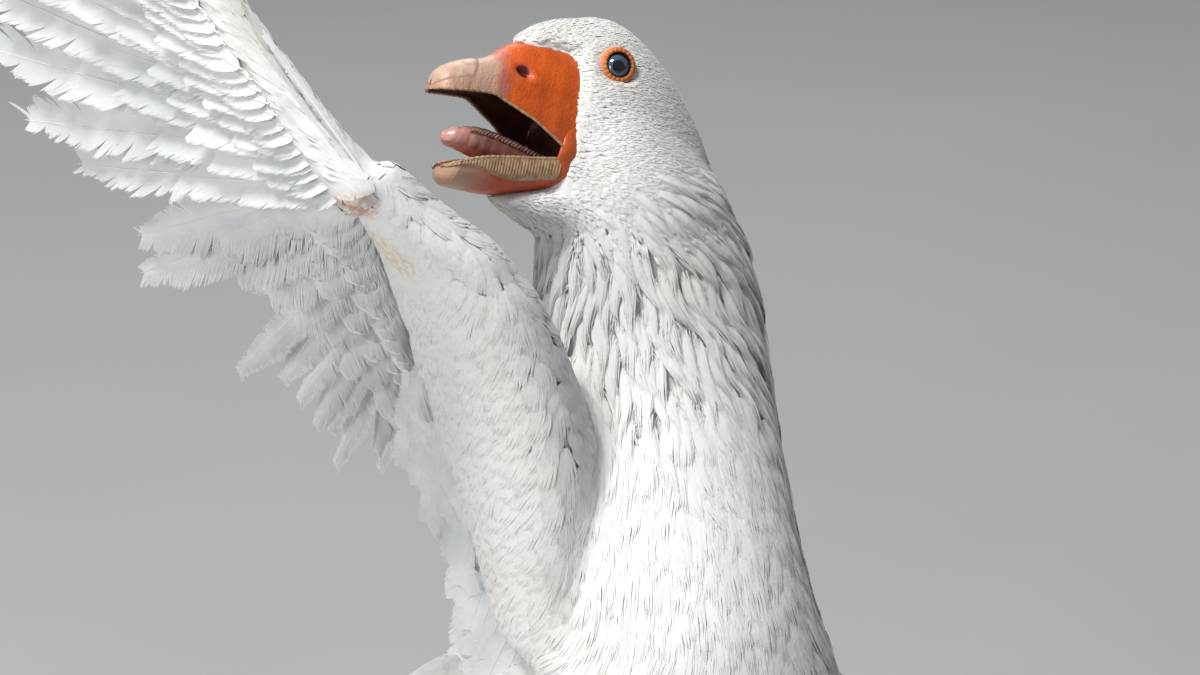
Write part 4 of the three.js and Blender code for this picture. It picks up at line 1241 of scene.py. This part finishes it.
VIEW_TARGET = np.array((0.0858, -0.1689, 0.5552))
VIEW_BACK = unit((-0.4019, -0.8619, 0.309))
VIEW_DISTANCE, LENS = 2.2, 140.4
LIT_PLACE = world((0, -90, 560))
# [name, place, size, power] of each lamp.
LAMPS = [("key", (-1.3, -0.5, 3.4), 0.9, 106), ("fill", (-2.6, -1.1, 1.0), 1.4, 32),
         ("back", (1.2, 2.4, 2.4), 1.6, 22)]
FLOOR_REACH = 60.0


def looking(place, target):
    """The matrix of a lamp or camera at a place that looks at a target, level from side to side."""
    back = unit(place - target)
    right = unit(np.cross((0, 0, 1), back))
    matrix = Matrix(np.column_stack([right, np.cross(back, right), back])).to_4x4()
    matrix.translation = place
    return matrix


def studio():
    """A pale floor, soft lamps and the camera at the photograph's angle."""
    nodes = Nodes("floor", 0.9)
    pale = nodes.blend(nodes.noise(3, 2), (0.45, 0.45, 0.44), (0.49, 0.49, 0.48))
    corners = [(x * FLOOR_REACH, y * FLOOR_REACH, 0) for x, y in ((-1, -1), (1, -1), (1, 1), (-1, 1))]
    floor = add_object("floor", build_mesh("floor", corners, [(0, 1, 2, 3)]))
    floor.data.materials.append(nodes.finish(pale))
    floor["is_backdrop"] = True
    for name, place, size, power in LAMPS:
        lamp = bpy.data.lights.new(name, "AREA")
        lamp.size, lamp.energy = size, power
        add_object(name, lamp, looking(np.array(place), LIT_PLACE))
    sky = bpy.data.worlds.new("studio")
    sky.use_nodes = True
    background = sky.node_tree.nodes["Background"].inputs
    background["Color"].default_value = (0.62, 0.66, 0.72, 1.0)
    background["Strength"].default_value = 0.32
    scene = bpy.context.scene
    scene.world = sky
    scene.view_settings.view_transform = "Standard"
    lens = bpy.data.cameras.new("camera")
    lens.lens, lens.sensor_width, lens.clip_end = LENS, 36.0, 100.0
    scene.camera = add_object("camera", lens, looking(VIEW_TARGET + VIEW_BACK * VIEW_DISTANCE, VIEW_TARGET))


# ---- build

# What each slot's kinds of piece look like.
LOOKS = {
    "plumage": {"skin": plumage_material("skin", 320), "coat": plumage_material("coat", 420)},
    "flight_feathers": {"flight": flight_material(), "quill": quill_material()},
    "bill": {
        "bill": bill_material(),
        "bill_low": low_bill_material(),
        # Palate and gum: the mouth lining's own red, darkened with painted shade of the mouth's inside, to
        # near-black on the palate.
        "palate": tissue("palate", (0.12, 0.022, 0.015), (0.06, 0.012, 0.010), 0.35, Coat_Weight=0.4),
        "horn": tissue("horn", (0.50, 0.34, 0.19), (0.36, 0.18, 0.10), 0.5, 300),
        "gum": tissue("gum", (0.42, 0.16, 0.11), (0.30, 0.09, 0.07), 0.35, Coat_Weight=0.4),
        "lid_left": lid_material(1),
        "lid_right": lid_material(-1),
    },
    "bill_nail": {"nail": tissue("nail", (0.66, 0.46, 0.34), (0.52, 0.31, 0.22), 0.38, 180)},
    "tongue": {
        "tongue": tongue_material(),
        "spine": tissue("spine", (0.20, 0.10, 0.08), (0.45, 0.32, 0.26), 0.5, 400),
    },
    "eye": {"eye_left": eye_material(1), "eye_right": eye_material(-1)},
    "leg_skin": {"leg": leg_material()},
    "claw": {"claw": tissue("claw", (0.40, 0.30, 0.22), (0.24, 0.17, 0.12), 0.35, 300)},
}
finishes = {kind: (material, slot) for slot, looks in LOOKS.items() for kind, material in looks.items()}

skin = Skin()
finish_piece(skin.object, "skin", FLESH)
# The skin lining the open mouth takes the palate's finish and its painted shade.
skin.object.data.materials.append(finishes["palate"][0])
dress(skin)
for make in (spread_wing, folded_wing, tail_fan, make_legs, make_upper_bill, make_nail, make_lower_bill,
             make_mouth_corners, make_tongue, make_eyes, studio):
    make()
({"cad": [list(map(float, corner)) for corner in CAD_BOX],
           "visual": [list(map(float, corner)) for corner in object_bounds()]})
